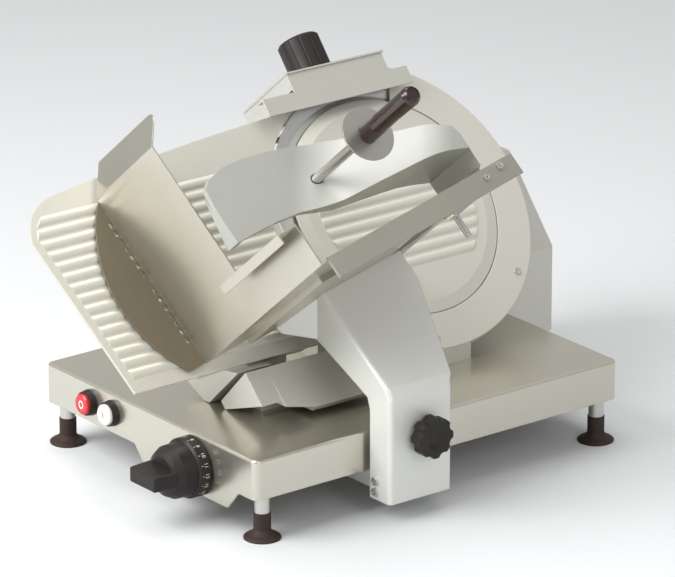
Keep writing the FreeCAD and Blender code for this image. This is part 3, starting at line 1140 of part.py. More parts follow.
def make_link():
    """Bracket that goes under the base's lower edge, from the slide block to the arm's leg."""
    y0, y1 = slide_range()
    z_block = FOOT_HEIGHT + ROD_HEIGHT - SLIDE_HEIGHT / 2
    left = ROD_MAIN_X - 48
    tongue = ARM_OUTER_X - ARM_LEG + 24
    body = block(left, tongue, y0 + 4, y1 - 4, LINK_BOTTOM, LINK_TOP)
    body = body.fuse(block(left, ROD_MAIN_X + 10, y0 + 4, y1 - 4, LINK_BOTTOM, z_block))
    body = body.removeSplitter()
    for x, y in link_screw_places():
        body = body.cut(rod(3 + FIT_GAP, Vector(x, y, LINK_BOTTOM - 1), Vector(x, y, z_block + 1)))
    for z in arm_screw_heights():
        x = ARM_OUTER_X - ARM_LEG + 12
        body = body.cut(rod(3 + FIT_GAP, Vector(x, ARM_NEAR_Y, z), Vector(x, ARM_NEAR_Y + 40, z)))
    node("carriage_link", body)
    for x, y in link_screw_places():
        CARRIAGE_SCREWS.append(fixing(Vector(x, y, LINK_BOTTOM), Vector(0, 0, -1),
                z_block - LINK_BOTTOM + 18))


def arm_screw_heights():
    return (LINK_BOTTOM + 5, LINK_TOP - 4)


def arm_profile():
    """XZ outline of the arm: leg, bend and the part that rises to the tray."""
    leg = [(ARM_OUTER_X - ARM_LEG, ARM_BOTTOM), (ARM_OUTER_X, ARM_BOTTOM)]
    return leg + [(ARM_OUTER_X + x, ARM_BEND + z) for x, z in ARM_SHAPE]


def make_arm():
    far_y = ARM_NEAR_Y + ARM_WIDTH
    out, bend_z = ARM_OUTER_X, ARM_BEND
    outline = arm_profile()
    body = side_prism(outline, ARM_NEAR_Y, far_y + ARM_FLARE)
    middles = [Vector((outline[k][0] + outline[k + 1][0]) / 2, ARM_NEAR_Y,
            (outline[k][1] + outline[k + 1][1]) / 2)
               for k in (1, 2, 3)]
    chain = [e for e in body.Edges if any(e.CenterOfMass.distanceToPoint(middle) < 1e-3 for middle in middles)]
    body = body.makeFillet(ARM_EDGE, chain)
    flare_y, far_z = far_y + ARM_FLARE, bend_z + 2 * BLADE_HEIGHT
    side = [(far_y, 0), (far_y, bend_z), (flare_y, bend_z + ARM_FLARE_RISE), (flare_y, far_z),
            (flare_y + 1, far_z),
            (flare_y + 1, 0)]
    corners = [Vector(0, y, z) for y, z in side]
    flare = Part.Face(Part.makePolygon(corners + corners[:1]))
    body = body.cut(flare.extrude(Vector(2 * out, 0, 0)))
    gusset_near = ARM_NEAR_Y - ARM_GUSSET_REACH
    gusset = side_prism([(out + x, bend_z + z) for x, z in ARM_GUSSET_SHAPE],
                        gusset_near, ARM_NEAR_Y + 2 * ARM_EDGE)
    slant = [(ARM_GUSSET_SHAPE[0][0], gusset_near), (ARM_GUSSET_SHAPE[2][0], ARM_NEAR_Y),
             (ARM_GUSSET_SHAPE[2][0], 2 * gusset_near)]
    corners = [Vector(out + x, y, 0) for x, y in slant]
    cutter = Part.Face(Part.makePolygon(corners + corners[:1]))
    gusset = gusset.cut(cutter.extrude(Vector(0, 0, far_z)))
    body = body.fuse(gusset)
    above = on_tray(block(-700, 300, -FLOOR_DROP - SHEET - SUPPORT_THICKNESS, 400, -300, 700))
    body = body.cut(above).removeSplitter()
    y0, y1 = slide_range()
    x = ARM_OUTER_X - ARM_LEG
    body = body.cut(block(x - 1, x + 24, y0 + 4, y1 - 4, LINK_BOTTOM, LINK_TOP))
    for z in arm_screw_heights():
        body = body.cut(rod(SCREW_RADIUS + FIT_GAP, Vector(x + 12, ARM_NEAR_Y - 1, z),
                Vector(x + 12, ARM_NEAR_Y + 40, z)))
        CARRIAGE_SCREWS.append(fixing(Vector(x + 12, ARM_NEAR_Y, z), Vector(0, -1, 0), 30))
    lock_y = lock_place().y
    body = body.cut(rod(LOCK_STUD_RADIUS + RUN_GAP, Vector(x - 1, lock_y, LOCK_Z),
            Vector(ARM_OUTER_X + 1, lock_y, LOCK_Z)))
    for f, c in support_screw_places():
        low = -FLOOR_DROP - SHEET - SUPPORT_THICKNESS - SUPPORT_GRIP - 1
        body = body.cut(on_tray(rod_y(SCREW_RADIUS + FIT_GAP, f, c, low, 0)))
    node("carriage_arm", body)


def lock_place():
    return Vector(ARM_OUTER_X, ARM_NEAR_Y + ARM_WIDTH * 0.57, LOCK_Z)


def make_lock_knob():
    start = SEAT_GAP
    knob = rod(LOCK_KNOB_RADIUS, Vector(0, 0, start + 6), Vector(0, 0, start + LOCK_KNOB_LENGTH))
    for x, y in circle_points(LOCK_KNOB_RADIUS + 4.5, LOCK_KNOB_LOBES, 22.5):
        knob = knob.cut(rod(8, Vector(x, y, start + 5), Vector(x, y, start + LOCK_KNOB_LENGTH + 1)))
    knob = knob.fuse(rod(LOCK_KNOB_RADIUS * 0.5, Vector(0, 0, start), Vector(0, 0, start + 7)))
    knob = knob.cut(Part.makeCone(LOCK_KNOB_RADIUS * 0.35, LOCK_KNOB_RADIUS * 0.6, 3,
            Vector(0, 0, start + LOCK_KNOB_LENGTH - 3)))
    stud = rod(LOCK_STUD_RADIUS, Vector(0, 0, -ARM_LEG + 1), Vector(0, 0, start + 13))
    node("lock_knob", aimed(union([knob, stud]), lock_place(), Vector(1, 0, 0)))


def support_screw_places():
    return [(SUPPORT_NEAR_F + along, SUPPORT_INNER + across) for along, across in SUPPORT_SCREWS]


def make_tray():
    floor_top = -FLOOR_DROP
    c0, c1 = TRAY_GAP, TRAY_DEPTH
    wall = block(WALL_F, WALL_F + SHEET, floor_top - SHEET, WALL_RISE, c0, WALL_DEPTH)
    low_wall = block(WALL_F, WALL_F + SHEET, floor_top - SHEET, floor_top + LOW_WALL_RISE, c0, c1)
    lean = Vector(FLAP_LEAN, FLAP_RISE, 0)
    base = Vector(WALL_F, WALL_RISE - 0.01, 0)
    tip = base + lean
    run = Vector(lean).normalize() * FLAP_CORNER
    deep = Vector(0, 0, WALL_DEPTH)
    across = Vector(0, 0, FLAP_CORNER)
    half = math.sqrt(0.5)
    bend = tip + deep - (run + across) * (1 - half)
    near = Vector(0, 0, c0)
    flap_wire = Part.Wire([Part.LineSegment(base + near, tip + near).toShape(),
                           Part.LineSegment(tip + near, tip + deep - across).toShape(),
                           Part.Arc(tip + deep - across, bend, tip + deep - run).toShape(),
                           Part.LineSegment(tip + deep - run, base + deep).toShape(),
                           Part.LineSegment(base + deep, base + near).toShape()])
    flap = Part.Face(flap_wire).extrude(Vector(SHEET, 0, 0))
    lift = floor_top + LOW_WALL_RISE
    ledge = block(WALL_F - LEDGE_REACH, WALL_F + SHEET, lift - SHEET, lift, LEDGE_START, LEDGE_END)
    lip = block(WALL_F - LEDGE_REACH, WALL_F - LEDGE_REACH + SHEET, lift - LEDGE_LIP, lift, LEDGE_START,
            LEDGE_END)
    node("end_wall", on_tray(union([wall, low_wall, flap, ledge, lip])))
    inner = FLOOR_GAP
    floor = block(WALL_F + SHEET, TRAY_FAR_F, floor_top - SHEET, floor_top, inner, c1)
    tab = block(TRAY_FAR_F - 1, PUSHER_ROD_F + 12, -PUSHER_ROD_DROP - 13, floor_top + 10, inner, inner + 4)
    lug = block(RAIL_LUG_F, RAIL_LUG_F + 20, floor_top - RAIL_HEIGHT + 6, floor_top - SHEET + 0.5, c1 - 16,
            c1)
    floor = union([floor, tab, lug])
    rod_at = Vector(PUSHER_ROD_F, -PUSHER_ROD_DROP, 0)
    pin_at = Vector(RAIL_LUG_F + 10, -PUSHER_ROD_DROP - 5, 0)
    up = Vector(0, 0, 1)
    floor = floor.cut(rod(PUSHER_ROD_RADIUS + FIT_GAP, rod_at + up * (inner - 1), rod_at + up * (inner + 5)))
    floor = floor.cut(rod(SCREW_RADIUS + FIT_GAP, pin_at + up * (c1 - 12), pin_at + up * (c1 + 1)))
    for f, c in support_screw_places():
        floor = floor.cut(rod_y(SCREW_RADIUS + FIT_GAP, f, c, floor_top - SHEET - 1, floor_top + 1))
    node("tray_floor", on_tray(floor.removeSplitter()))
    rail_top = floor_top + RAIL_RISE
    rail = block(RAIL_NEAR_F, RAIL_FAR_F, rail_top - RAIL_HEIGHT, rail_top, c1, c1 + RAIL_THICKNESS)
    for at in (rod_at, pin_at):
        rail = rail.cut(rod(SCREW_RADIUS + HOLE_GAP, at + up * (c1 - 1), at + up * (c1 + RAIL_THICKNESS + 1)))
    node("outer_rail", on_tray(rail))
    CARRIAGE_SCREWS.append(on_tray(fixing(rod_at + up * (c1 + RAIL_THICKNESS), up, 18)))
    CARRIAGE_SCREWS.append(on_tray(fixing(pin_at + up * (c1 + RAIL_THICKNESS), up, 14, SCREW_RADIUS + 1)))
    guide = rod(PUSHER_ROD_RADIUS, rod_at + up * inner, rod_at + up * c1)
    guide = guide.cut(rod(SCREW_RADIUS + FIT_GAP, rod_at + up * (c1 - 16), rod_at + up * (c1 + 1)))
    node("pusher_guide_rod", on_tray(guide))
    under = floor_top - SHEET
    support = block(SUPPORT_NEAR_F, SUPPORT_FAR_F, under - SUPPORT_THICKNESS, under, SUPPORT_INNER,
            SUPPORT_OUTER)
    for f, c in support_screw_places():
        support = support.cut(rod_y(SCREW_RADIUS + FIT_GAP, f, c, under - SUPPORT_THICKNESS - 1, under + 1))
        CARRIAGE_SCREWS.append(on_tray(aimed(screw(4.8, 1.6, SCREW_RADIUS,
                SHEET + SUPPORT_THICKNESS + SUPPORT_GRIP),
                                             Vector(f, floor_top, c), Vector(0, 1, 0))))
    node("tray_support_plate", on_tray(support))


def rod_y(radius, x, z, y0, y1):
    return rod(radius, Vector(x, y0, z), Vector(x, y1, z))


def make_hand_guard():
    """Lens-shaped sheet beside the end wall, close in front of the gauge plate."""
    top = Vector(WALL_F, GUARD_TOP, 0)
    middle = Vector(WALL_F - GUARD_BULGE, GUARD_MIDDLE, 0)
    foot = Vector(WALL_F - GUARD_FOOT, -FLOOR_DROP, 0)
    corner = Vector(WALL_F, -FLOOR_DROP, 0)
    wire = Part.Wire([Part.Arc(top, middle, foot).toShape(), Part.LineSegment(foot, corner).toShape(),
                      Part.LineSegment(corner, top).toShape()])
    sheet = Part.Face(wire).extrude(Vector(0, 0, SHEET))
    sheet = moved(sheet, Placement(Vector(0, 0, GUARD_GAP), Rotation()))
    for start in GUARD_SLOT_ROWS:
        for k in range(GUARD_SLOTS):
            y = start - k * GUARD_SLOT_PITCH
            sheet = sheet.cut(block(WALL_F - 2 - GUARD_SLOT_WIDTH, WALL_F - 2, y - GUARD_SLOT_LENGTH, y, 0,
                    8))
    node("hand_guard", on_tray(sheet))


# ---------------------------------------------------------------- pusher
PUSHER_OUTLINE = ((-380, 110), (-368, 118), (-342, 124), (-309, 122), (-270, 115), (-227, 103), (-193, 90),
                  (-167, 75), (-134, 50), (-108, 36), (-98, 28), (-84, 18), (-79, 4), (-62, -12), (-62, -54),
                  (-76, -54), (-76, -18), (-103, -9), (-126, -3), (-150, 1), (-190, 7), (-228, 12), (-250,
                          19),
                  (-278, 28), (-315, 32), (-353, 33), (-384, 33), (-384, 80))
PUSHER_HOLLOW = ((-200, 72), (-170, 60), (-134, 40), (-106, 26), (-90, 12), (-86, -3), (-103, 0), (-126, 5),
                 (-160, 10), (-200, 18))


def rounded(before, corner, after, radius):
    """Arc that rounds the corner between two straight runs."""
    to_start = (before - corner).normalize()
    to_end = (after - corner).normalize()
    half = to_start.getAngle(to_end) / 2
    reach = radius / math.tan(half)
    middle = corner + (to_start + to_end).normalize() * (radius / math.sin(half) - radius)
    return [Part.Arc(corner + to_start * reach, middle, corner + to_end * reach)]


def pusher_front(drop):
    """Everything in front of the arm's face: flat plate, slope, flat right part."""
    flat = PUSHER_BACK + PUSHER_PLATE - drop
    high = flat + PUSHER_RISE
    start, foot, crest = Vector(-600, -500, flat), Vector(PUSHER_SLOPE_START, -500,
            flat), Vector(PUSHER_SLOPE_END, -500, high)
    end = Vector(300, -500, high)
    outline = rounded(start, foot, crest, PUSHER_FOOT_ROUND) + rounded(foot, crest, end, PUSHER_CREST_ROUND)
    lid = [end, Vector(300, -500, high + 200), Vector(-600, -500, high + 200), start]
    stops = [outline[0].StartPoint, outline[0].EndPoint, outline[1].StartPoint, outline[1].EndPoint]
    edges = [Part.LineSegment(start, stops[0]), outline[0], Part.LineSegment(stops[1], stops[2]), outline[1],
             Part.LineSegment(stops[3], end)]
    edges += [Part.LineSegment(one, two) for one, two in zip(lid, lid[1:])]
    cutter = Part.Face(Part.Wire([edge.toShape() for edge in edges])).extrude(Vector(0, 1000, 0))
    return moved(cutter, Placement(Vector(), Rotation(Vector(0, 0, 1), PUSHER_SLOPE_ANGLE)))


def make_pusher():
    back = PUSHER_BACK
    front = back + PUSHER_PLATE
    outer = front + PUSHER_RISE
    body = prism(PUSHER_OUTLINE, back, outer)
    side = Part.Face(Part.makePolygon([Vector(PUSHER_LEG_LEFT - 3, -200, outer),
            Vector(PUSHER_LEG_RIGHT, -200, outer - 26),
                                       Vector(PUSHER_LEG_RIGHT + 60, -200,
                                               outer - 26), Vector(PUSHER_LEG_RIGHT + 60, -200, outer + 9),
                                       Vector(PUSHER_LEG_LEFT - 3, -200,
                                               outer + 9), Vector(PUSHER_LEG_LEFT - 3, -200, outer)]))
    body = body.cut(side.extrude(Vector(0, 500, 0)))
    rod_at = Vector(PUSHER_ROD_F, -PUSHER_ROD_DROP, 0)
    up = Vector(0, 0, 1)
    hub_start = back + SLEEVE_COLLAR + SEAT_GAP
    hub_end = outer - 28
    body = body.cut(block(PUSHER_LEG_LEFT - 10, 0, -200, -PUSHER_ROD_DROP + PUSHER_HUB_RADIUS + 2, back - 1,
            hub_start))
    body = body.cut(block(PUSHER_LEG_LEFT - 10, 0, -200, -PUSHER_ROD_DROP + PUSHER_HUB_RADIUS + 2, hub_end,
            outer + 1))
    hub = rod(PUSHER_HUB_RADIUS, rod_at + up * hub_start, rod_at + up * hub_end)
    rib = prism(((-384, 33), (-384, 100), (-372, 100), (-372, 33)), back - 18, back)
    rib_cut = Part.Face(Part.makePolygon([Vector(-500, 33, back - 18), Vector(-500, 101, back),
            Vector(-500, 101, back - 19),
                                          Vector(-500, 33, back - 19), Vector(-500, 33, back - 18)]))
    rib = rib.cut(rib_cut.extrude(Vector(300, 0, 0)))
    body = union([body.cut(pusher_front(0)), hub, rib])
    hollow = prism(PUSHER_HOLLOW, back - 1, outer + 1).cut(pusher_front(PUSHER_WALL + 2))
    body = body.cut(hollow)
    body = body.cut(rod(SLEEVE_RADIUS + RUN_GAP, rod_at + up * (back - 1), rod_at + up * (outer + 1)))
    handle = Vector(HANDLE_F, HANDLE_RISE, 0)
    body = body.cut(rod(HANDLE_TENON_RADIUS + FIT_GAP, handle + up * (back - 1), handle + up * (front + 60)))
    body = body.cut(rod(HANDLE_ROD_RADIUS + 1, handle + up * front, handle + up * (front + 60)))
    node("pusher_arm", on_tray(body.removeSplitter()))
    sleeve = union([rod(SLEEVE_RADIUS, rod_at + up * back, rod_at + up * (hub_end + 4)),
                    rod(PUSHER_HUB_RADIUS, rod_at + up * back, rod_at + up * (back + SLEEVE_COLLAR)),
                    rod(SLEEVE_RADIUS + 3, rod_at + up * (hub_end + SEAT_GAP), rod_at + up * (hub_end + 4))])
    pin_at = rod_at + up * (back + SLEEVE_COLLAR / 2) - Vector(0, PUSHER_HUB_RADIUS - 3, 0)
    sleeve = sleeve.fuse(rod(STOP_PIN_RADIUS, pin_at, pin_at - Vector(0, STOP_PIN_LENGTH + 3, 0)))
    sleeve = sleeve.cut(rod(PUSHER_ROD_RADIUS + RUN_GAP, rod_at + up * (back - 1), rod_at + up * (outer + 1)))
    node("pusher_sleeve", on_tray(sleeve.removeSplitter()))
    spikes = []
    for row in SPIKE_ROWS:
        for k in range(8):
            f = SPIKE_START + SPIKE_PITCH * k + (row - SPIKE_ROWS[0]) / 4
            spikes.append(on_tray(Part.makeCone(SPIKE_RADIUS, 0.3, SPIKE_LENGTH, Vector(f, row, back),
                    Vector(0, 0, -1))))
    node("pusher_spikes", group(spikes))
    disc_c = front + HANDLE_ROD_LENGTH
    grip_c = disc_c + GUARD_DISC_THICKNESS
    socket = GRIP_LENGTH * 0.8
    shank = rod(HANDLE_ROD_RADIUS, handle + up * front, handle + up * (grip_c + socket))
    tenon = rod(HANDLE_TENON_RADIUS, handle + up * back, handle + up * (front + 1))
    node("pusher_handle_rod", on_tray(union([shank, tenon])))
    disc = pipe(GUARD_DISC_RADIUS, HANDLE_ROD_RADIUS + FIT_GAP, handle + up * disc_c, handle + up * grip_c)
    node("handle_guard_disc", on_tray(disc))
    r = GRIP_RADIUS
    hole = HANDLE_ROD_RADIUS + FIT_GAP
    length = GRIP_LENGTH
    grip = spun([(hole, 0), (r - 1.5, 0), (r, 2), (r - 0.8, length * 0.5), (r, length - 7),
            (r - 1.5, length - 3),
                 (r - 4, length), (r - 5, length - 2), (0, length - 2), (0, socket), (hole, socket)])
    node("pusher_grip", on_tray(moved(grip, Placement(handle + up * grip_c, Rotation()))))


# ---------------------------------------------------------------- sharpener
def post_screw_places():
    return [(POST_A - 12, 8), (POST_A - 12, 44)]


def make_sharpener():
    face = -HOUSING_FACE_DEPTH
    seat = POST_C + POST_RADIUS - 2
    foot = block(POST_A - 20, POST_A + 9, 0, 52, face, seat)
    foot = foot.cut(rod(BEARING_FLANGE_RADIUS + 1, Vector(0, 0, face - 1), Vector(0, 0, 0)))
    shoulder = SHARP_BOTTOM - 6
    post = rod_y(POST_RADIUS, POST_A, POST_C, 6, SHARP_TOP - 4)
    collar = rod_y(POST_RADIUS + 2, POST_A, POST_C, shoulder - 6, shoulder)
    post = union([foot, post, collar])
    for x, y in post_screw_places():
        post = post.cut(rod(SCREW_RADIUS + FIT_GAP, Vector(x, y, face - 1), Vector(x, y, 0)))
        HOUSING_SCREWS.append(on_blade(fixing(Vector(x, y, seat), Vector(0, 0, 1), 22)))
    node("sharpener_post", on_blade(post))
    s = SHARP_SHEET
    split = -30
    back_box = block(SHARP_LEFT, SHARP_RIGHT, SHARP_BOTTOM, SHARP_TOP, SHARP_BACK, split)
    top_box = block(SHARP_LEFT, SHARP_RIGHT, SHARP_STEP + 4, SHARP_TOP, SHARP_BACK, SHARP_FRONT)
    skirt = block(SHARP_SKIRT_LEFT, SHARP_SKIRT_RIGHT, SHARP_BOTTOM, SHARP_STEP, SHARP_FRONT - s, SHARP_FRONT)
    front = block(SHARP_LEFT, SHARP_RIGHT, SHARP_STEP - 1, SHARP_TOP, SHARP_FRONT - s, SHARP_FRONT)
    lids = [block(SHARP_SKIRT_LEFT, SHARP_LEFT, SHARP_STEP - s, SHARP_STEP, SHARP_FRONT - 14, SHARP_FRONT),
            block(SHARP_RIGHT, SHARP_SKIRT_RIGHT, SHARP_STEP - s, SHARP_STEP, SHARP_FRONT - 14, SHARP_FRONT)]
    shell = back_box.fuse(top_box).removeSplitter()
    inner = block(SHARP_LEFT + s, SHARP_RIGHT - s, SHARP_BOTTOM - 1, SHARP_TOP - s, SHARP_BACK + s, split - s)
    inner = inner.fuse(block(SHARP_LEFT + s, SHARP_RIGHT - s, SHARP_STEP + 3, SHARP_TOP - s, SHARP_BACK + s,
            SHARP_FRONT - s))
    casing = union([shell.cut(inner), skirt, front] + lids)
    casing = casing.cut(block(SHARP_LEFT - 1, SHARP_LEFT + s + 1, SHARP_STEP + 6, SHARP_STEP + 11, -50, -36))
    casing = casing.cut(block(-16, 8, SHARP_BOTTOM - 1, SHARP_STEP + 2, split - s - 1, split + 1))
    stud = KNOB_STUD_RADIUS
    casing = casing.cut(rod_y(stud + RUN_GAP, SHARP_KNOB_A, SHARP_KNOB_C, SHARP_TOP - 3, SHARP_TOP + 1))
    node("sharpener_casing", on_blade(casing.removeSplitter()))
    plate = block(SHARP_LEFT - 1, SHARP_RIGHT + 3, SHARP_TOP, SHARP_TOP + 2.5, SHARP_BACK + 2,
            SHARP_FRONT + 2)
    plate = plate.cut(rod_y(stud + RUN_GAP, SHARP_KNOB_A, SHARP_KNOB_C, SHARP_TOP - 1, SHARP_TOP + 4))
    node("sharpener_top_plate", on_blade(plate))
    block_top = SHARP_TOP - s
    carrier = block(POST_A - 12, POST_A + 13, shoulder + SEAT_GAP, block_top, POST_C - 13, POST_C + 11)
    bridge = block(POST_A + 12, 44, block_top - 12, block_top, POST_C - 9, POST_C + 13)
    tab = block(SHARP_KNOB_A - 14, SHARP_KNOB_A + 14, block_top - 8, block_top, POST_C + 12,
            SHARP_KNOB_C + 14)
    hanger = block(-16, 8, SHARP_STEP - 20, block_top - 11, POST_C - 4, POST_C + 6)
    lever = block(24, 36, block_top - 8, block_top - 1, POST_C + 12, 14)
    drop = block(24, 36, SHARP_STEP - 8, block_top - 4, 13.5, 17.5)
    carrier = union([carrier, bridge, tab, hanger, lever, drop])
    grind = Vector(-4, SHARP_STEP - 4, 0)
    hone = Vector(30, SHARP_STEP - 2, 0)
    up = Vector(0, 0, 1)
    carrier = carrier.cut(rod_y(POST_RADIUS + RUN_GAP, POST_A, POST_C, shoulder, SHARP_TOP))
    carrier = carrier.cut(rod_y(stud + RUN_GAP, SHARP_KNOB_A, SHARP_KNOB_C, block_top - 13, SHARP_TOP))
    carrier = carrier.cut(rod(STONE_AXLE_RADIUS + RUN_GAP, grind + up * (POST_C - 20), grind + up * -20))
    carrier = carrier.cut(rod(STONE_AXLE_RADIUS + RUN_GAP, hone + up * 8, hone + up * 17.6))
    node("sharpener_block", on_blade(carrier.removeSplitter()))
    stone = rod(STONE_RADIUS, grind + up * (-12 - STONE_THICKNESS), grind + up * -12)
    axle = rod(STONE_AXLE_RADIUS, grind + up * (POST_C - 12), grind + up * -13)
    head = rod(STONE_AXLE_RADIUS + 2.5, grind + up * (POST_C - 12), grind + up * (POST_C - 4 - SEAT_GAP))
    node("grinding_stone", on_blade(union([stone, axle, head])))
    hone_stone = rod(STONE_RADIUS - 4, hone + up * 4, hone + up * (2 + STONE_THICKNESS))
    hone_axle = rod(STONE_AXLE_RADIUS, hone + up * 5, hone + up * 17)
    node("honing_stone", on_blade(union([hone_stone, hone_axle])))
    knob = spun([(0, 0), (SHARP_KNOB_RADIUS - 1, 0), (SHARP_KNOB_RADIUS, 1.5),
            (SHARP_KNOB_RADIUS, SHARP_KNOB_LENGTH - 2.5),
                 (SHARP_KNOB_RADIUS - 2.5, SHARP_KNOB_LENGTH), (0, SHARP_KNOB_LENGTH)])
    for x, y in circle_points(SHARP_KNOB_RADIUS + 0.6, 12):
        knob = knob.cut(rod(1.4, Vector(x, y, 6), Vector(x, y, SHARP_KNOB_LENGTH + 1)))
    at = Vector(SHARP_KNOB_A, SHARP_TOP + 2.5 + SEAT_GAP, SHARP_KNOB_C)
    pin = rod_y(stud, SHARP_KNOB_A, SHARP_KNOB_C, block_top - 7.5, at.y + 1)
    node("sharpener_knob", on_blade(union([aimed(knob, at, Vector(0, 1, 0)), pin])))


# ---------------------------------------------------------------- all of it
def build():
    for make in (make_base, make_bottom_plate, make_feet, make_housing, make_service_cover,
                 make_bearing_housing, make_bearings, make_bowl, make_ring, make_ring_foot,
                 make_blade, make_motor, make_cover, make_buttons, make_gland, make_knob,
                 make_gauge, make_carrier, make_slide_casting, make_guide_rods, make_slide,
                 make_link, make_arm, make_lock_knob, make_tray, make_hand_guard, make_pusher,
                 make_sharpener):
        make()
    node("base_screws", group(BASE_SCREWS))
    node("housing_screws", group(HOUSING_SCREWS))
    node("carriage_screws", group(CARRIAGE_SCREWS))
    whole = Part.makeCompound(list(NODES.values())).BoundBox
    shift = Vector(-(whole.XMin + whole.XMax) / 2, -(whole.YMin + whole.YMax) / 2, -whole.ZMin)
    os.makedirs("parts", exist_ok=True)
    for name, shape in NODES.items():
        placed = moved(shape, Placement(shift, Rotation()))
        placed.exportStep("parts/%s.step" % name)
        print("%-26s solids %2d  volume %10.0f  valid %s" % (name, len(shape.Solids), shape.Volume,
                shape.isValid()))
    print("nodes", len(NODES), "shift", shift, "size", whole.XLength, whole.YLength, whole.ZLength)


build()
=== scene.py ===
# %% [markdown]
# # A gravity-feed meat slicer
# The machine is almost all metal: a folded and brushed base, cast and anodised plates, a ground
# blade and a few black plastic knobs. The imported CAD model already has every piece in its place,
# so this script gives each one the finish of the real piece and adds what is only printed on.

# %% Load the fixed frame
import json
import math

import bpy
import numpy as np
from mathutils import Matrix, Vector


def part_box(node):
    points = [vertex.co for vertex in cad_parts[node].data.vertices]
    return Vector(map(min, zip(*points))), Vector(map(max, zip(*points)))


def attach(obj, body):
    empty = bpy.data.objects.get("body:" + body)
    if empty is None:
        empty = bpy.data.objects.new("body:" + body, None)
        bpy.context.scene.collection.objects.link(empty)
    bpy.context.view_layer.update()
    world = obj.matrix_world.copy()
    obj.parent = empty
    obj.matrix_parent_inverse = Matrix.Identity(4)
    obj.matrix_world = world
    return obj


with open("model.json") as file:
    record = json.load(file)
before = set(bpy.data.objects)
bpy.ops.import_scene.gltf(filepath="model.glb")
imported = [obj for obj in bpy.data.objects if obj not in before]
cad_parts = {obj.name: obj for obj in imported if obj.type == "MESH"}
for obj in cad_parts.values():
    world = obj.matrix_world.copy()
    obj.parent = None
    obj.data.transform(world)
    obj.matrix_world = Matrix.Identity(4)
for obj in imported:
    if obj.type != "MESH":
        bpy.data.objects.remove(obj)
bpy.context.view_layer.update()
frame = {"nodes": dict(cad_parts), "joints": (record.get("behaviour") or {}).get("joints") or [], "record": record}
nodes = frame["nodes"]
slot_of = {part["node"]: part["material_slot"] for part in frame["record"]["subparts"]}

# %% [markdown]
# Two planes carry nearly everything above the base. The blade, its cover and the gauge plate lie in
# a plane that leans 40 degrees, and the food tray is turned a little further in that same plane.
# A brushed or ribbed finish follows its own sheet, so the script keeps one set of axes for each.

# %% Axes of the leaning sheets
BLADE_TILT = math.radians(40)
TRAY_TURN = math.radians(12.33)
MM = 0.001

along = Vector((0, 1, 0))
upslope = Vector((-math.sin(BLADE_TILT), 0, math.cos(BLADE_TILT)))
outward = Vector((math.cos(BLADE_TILT), 0, math.sin(BLADE_TILT)))
joint_of = {joint["name"]: joint for joint in frame["joints"]}
blade_centre = Vector(joint_of["blade_spin"]["pos_m"])


def axes(x_axis, y_axis, z_axis):
    """Rotation whose columns are the three directions of a sheet."""
    return Matrix((x_axis, y_axis, z_axis)).transposed().to_euler()


blade_axes = axes(along, upslope, outward)
tray_along = along * math.cos(TRAY_TURN) + upslope * math.sin(TRAY_TURN)
tray_up = upslope * math.cos(TRAY_TURN) - along * math.sin(TRAY_TURN)
tray_axes = axes(tray_along, tray_up, outward)
wall_axes = axes(tray_up, outward, tray_along)
base_axes = axes(Vector((1, 0, 0)), along, Vector((0, 0, 1)))
length_axes = axes(along, Vector((-1, 0, 0)), Vector((0, 0, 1)))
print("blade centre (m):", [round(value, 4) for value in blade_centre])

# %% [markdown]
# A material is a small tree of nodes. One function adds a node, sets what it is told to set and
# links what it is given, so each finish below reads as a recipe. Colours are written as they look
# on a screen (sRGB), and are turned into the linear values that the shader works with.

# %% Node and colour helpers


def linear(hex_colour):
    """sRGB to linear: c / 12.92 in the darks, ((c + 0.055) / 1.055) ^ 2.4 above them."""
    steps = [int(hex_colour[i:i + 2], 16) / 255 for i in (1, 3, 5)]
    return [c / 12.92 if c < 0.04045 else ((c + 0.055) / 1.055) ** 2.4 for c in steps] + [1.0]


def shaded(hex_colour, amount):
    """The same colour, lighter or darker by a factor."""
    return [min(1.0, value * amount) for value in linear(hex_colour)[:3]] + [1.0]


def add(tree, kind, sockets=None, **settings):
    """Adds one node: settings are its properties, sockets its inputs by name or number."""
    made = tree.nodes.new(kind)
    for name, value in settings.items():
        setattr(made, name, value)
    for name, value in (sockets or {}).items():
        if isinstance(value, bpy.types.NodeSocket):
            tree.links.new(value, made.inputs[name])
        else:
            made.inputs[name].default_value = value
    return made


def new_material(name, viewport):
    """An empty material, with its colour for the plain view, and its tree."""
    material = bpy.data.materials.new(name)
    material.use_nodes = True
    material.node_tree.nodes.clear()
    material.diffuse_color = linear(viewport)
    return material, material.node_tree


def grain_mm(tree, turn, size, centre=(0, 0, 0)):
    """Coordinates of a piece in its own axes, with one unit for each size in millimetres."""
    here = add(tree, "ShaderNodeTexCoord")
    return add(tree, "ShaderNodeMapping", {
        "Vector": here.outputs["Object"], "Location": centre, "Rotation": turn,
        "Scale": [value * MM for value in size]}, vector_type="TEXTURE").outputs[0]


# %% [markdown]
# Sheet metal and castings share one recipe: fine lines or grit that change the roughness and tilt
# the surface a little, a slow cloudiness from handling, and softly broken edges that catch the
# light. What differs is the metal's colour, how long the lines are and how deep they go.

# %% Recipe for metal
EDGE_BREAK = 0.9 * MM     # radius to which a deburred edge is rubbed
CAST_EDGE = 2.0 * MM      # the softer edge of a lacquered casting
EDGE_SAMPLES = 4
BUMP_STRENGTH = 0.5
CLOUD_SIZE = 130.0        # millimetres between lighter and darker places
GRAIN_ROUGHNESS = 0.6     # how strong the finest lines are against the longest
LEVELS = (0.7, 1.3)       # the part of two added noises that most places fall in


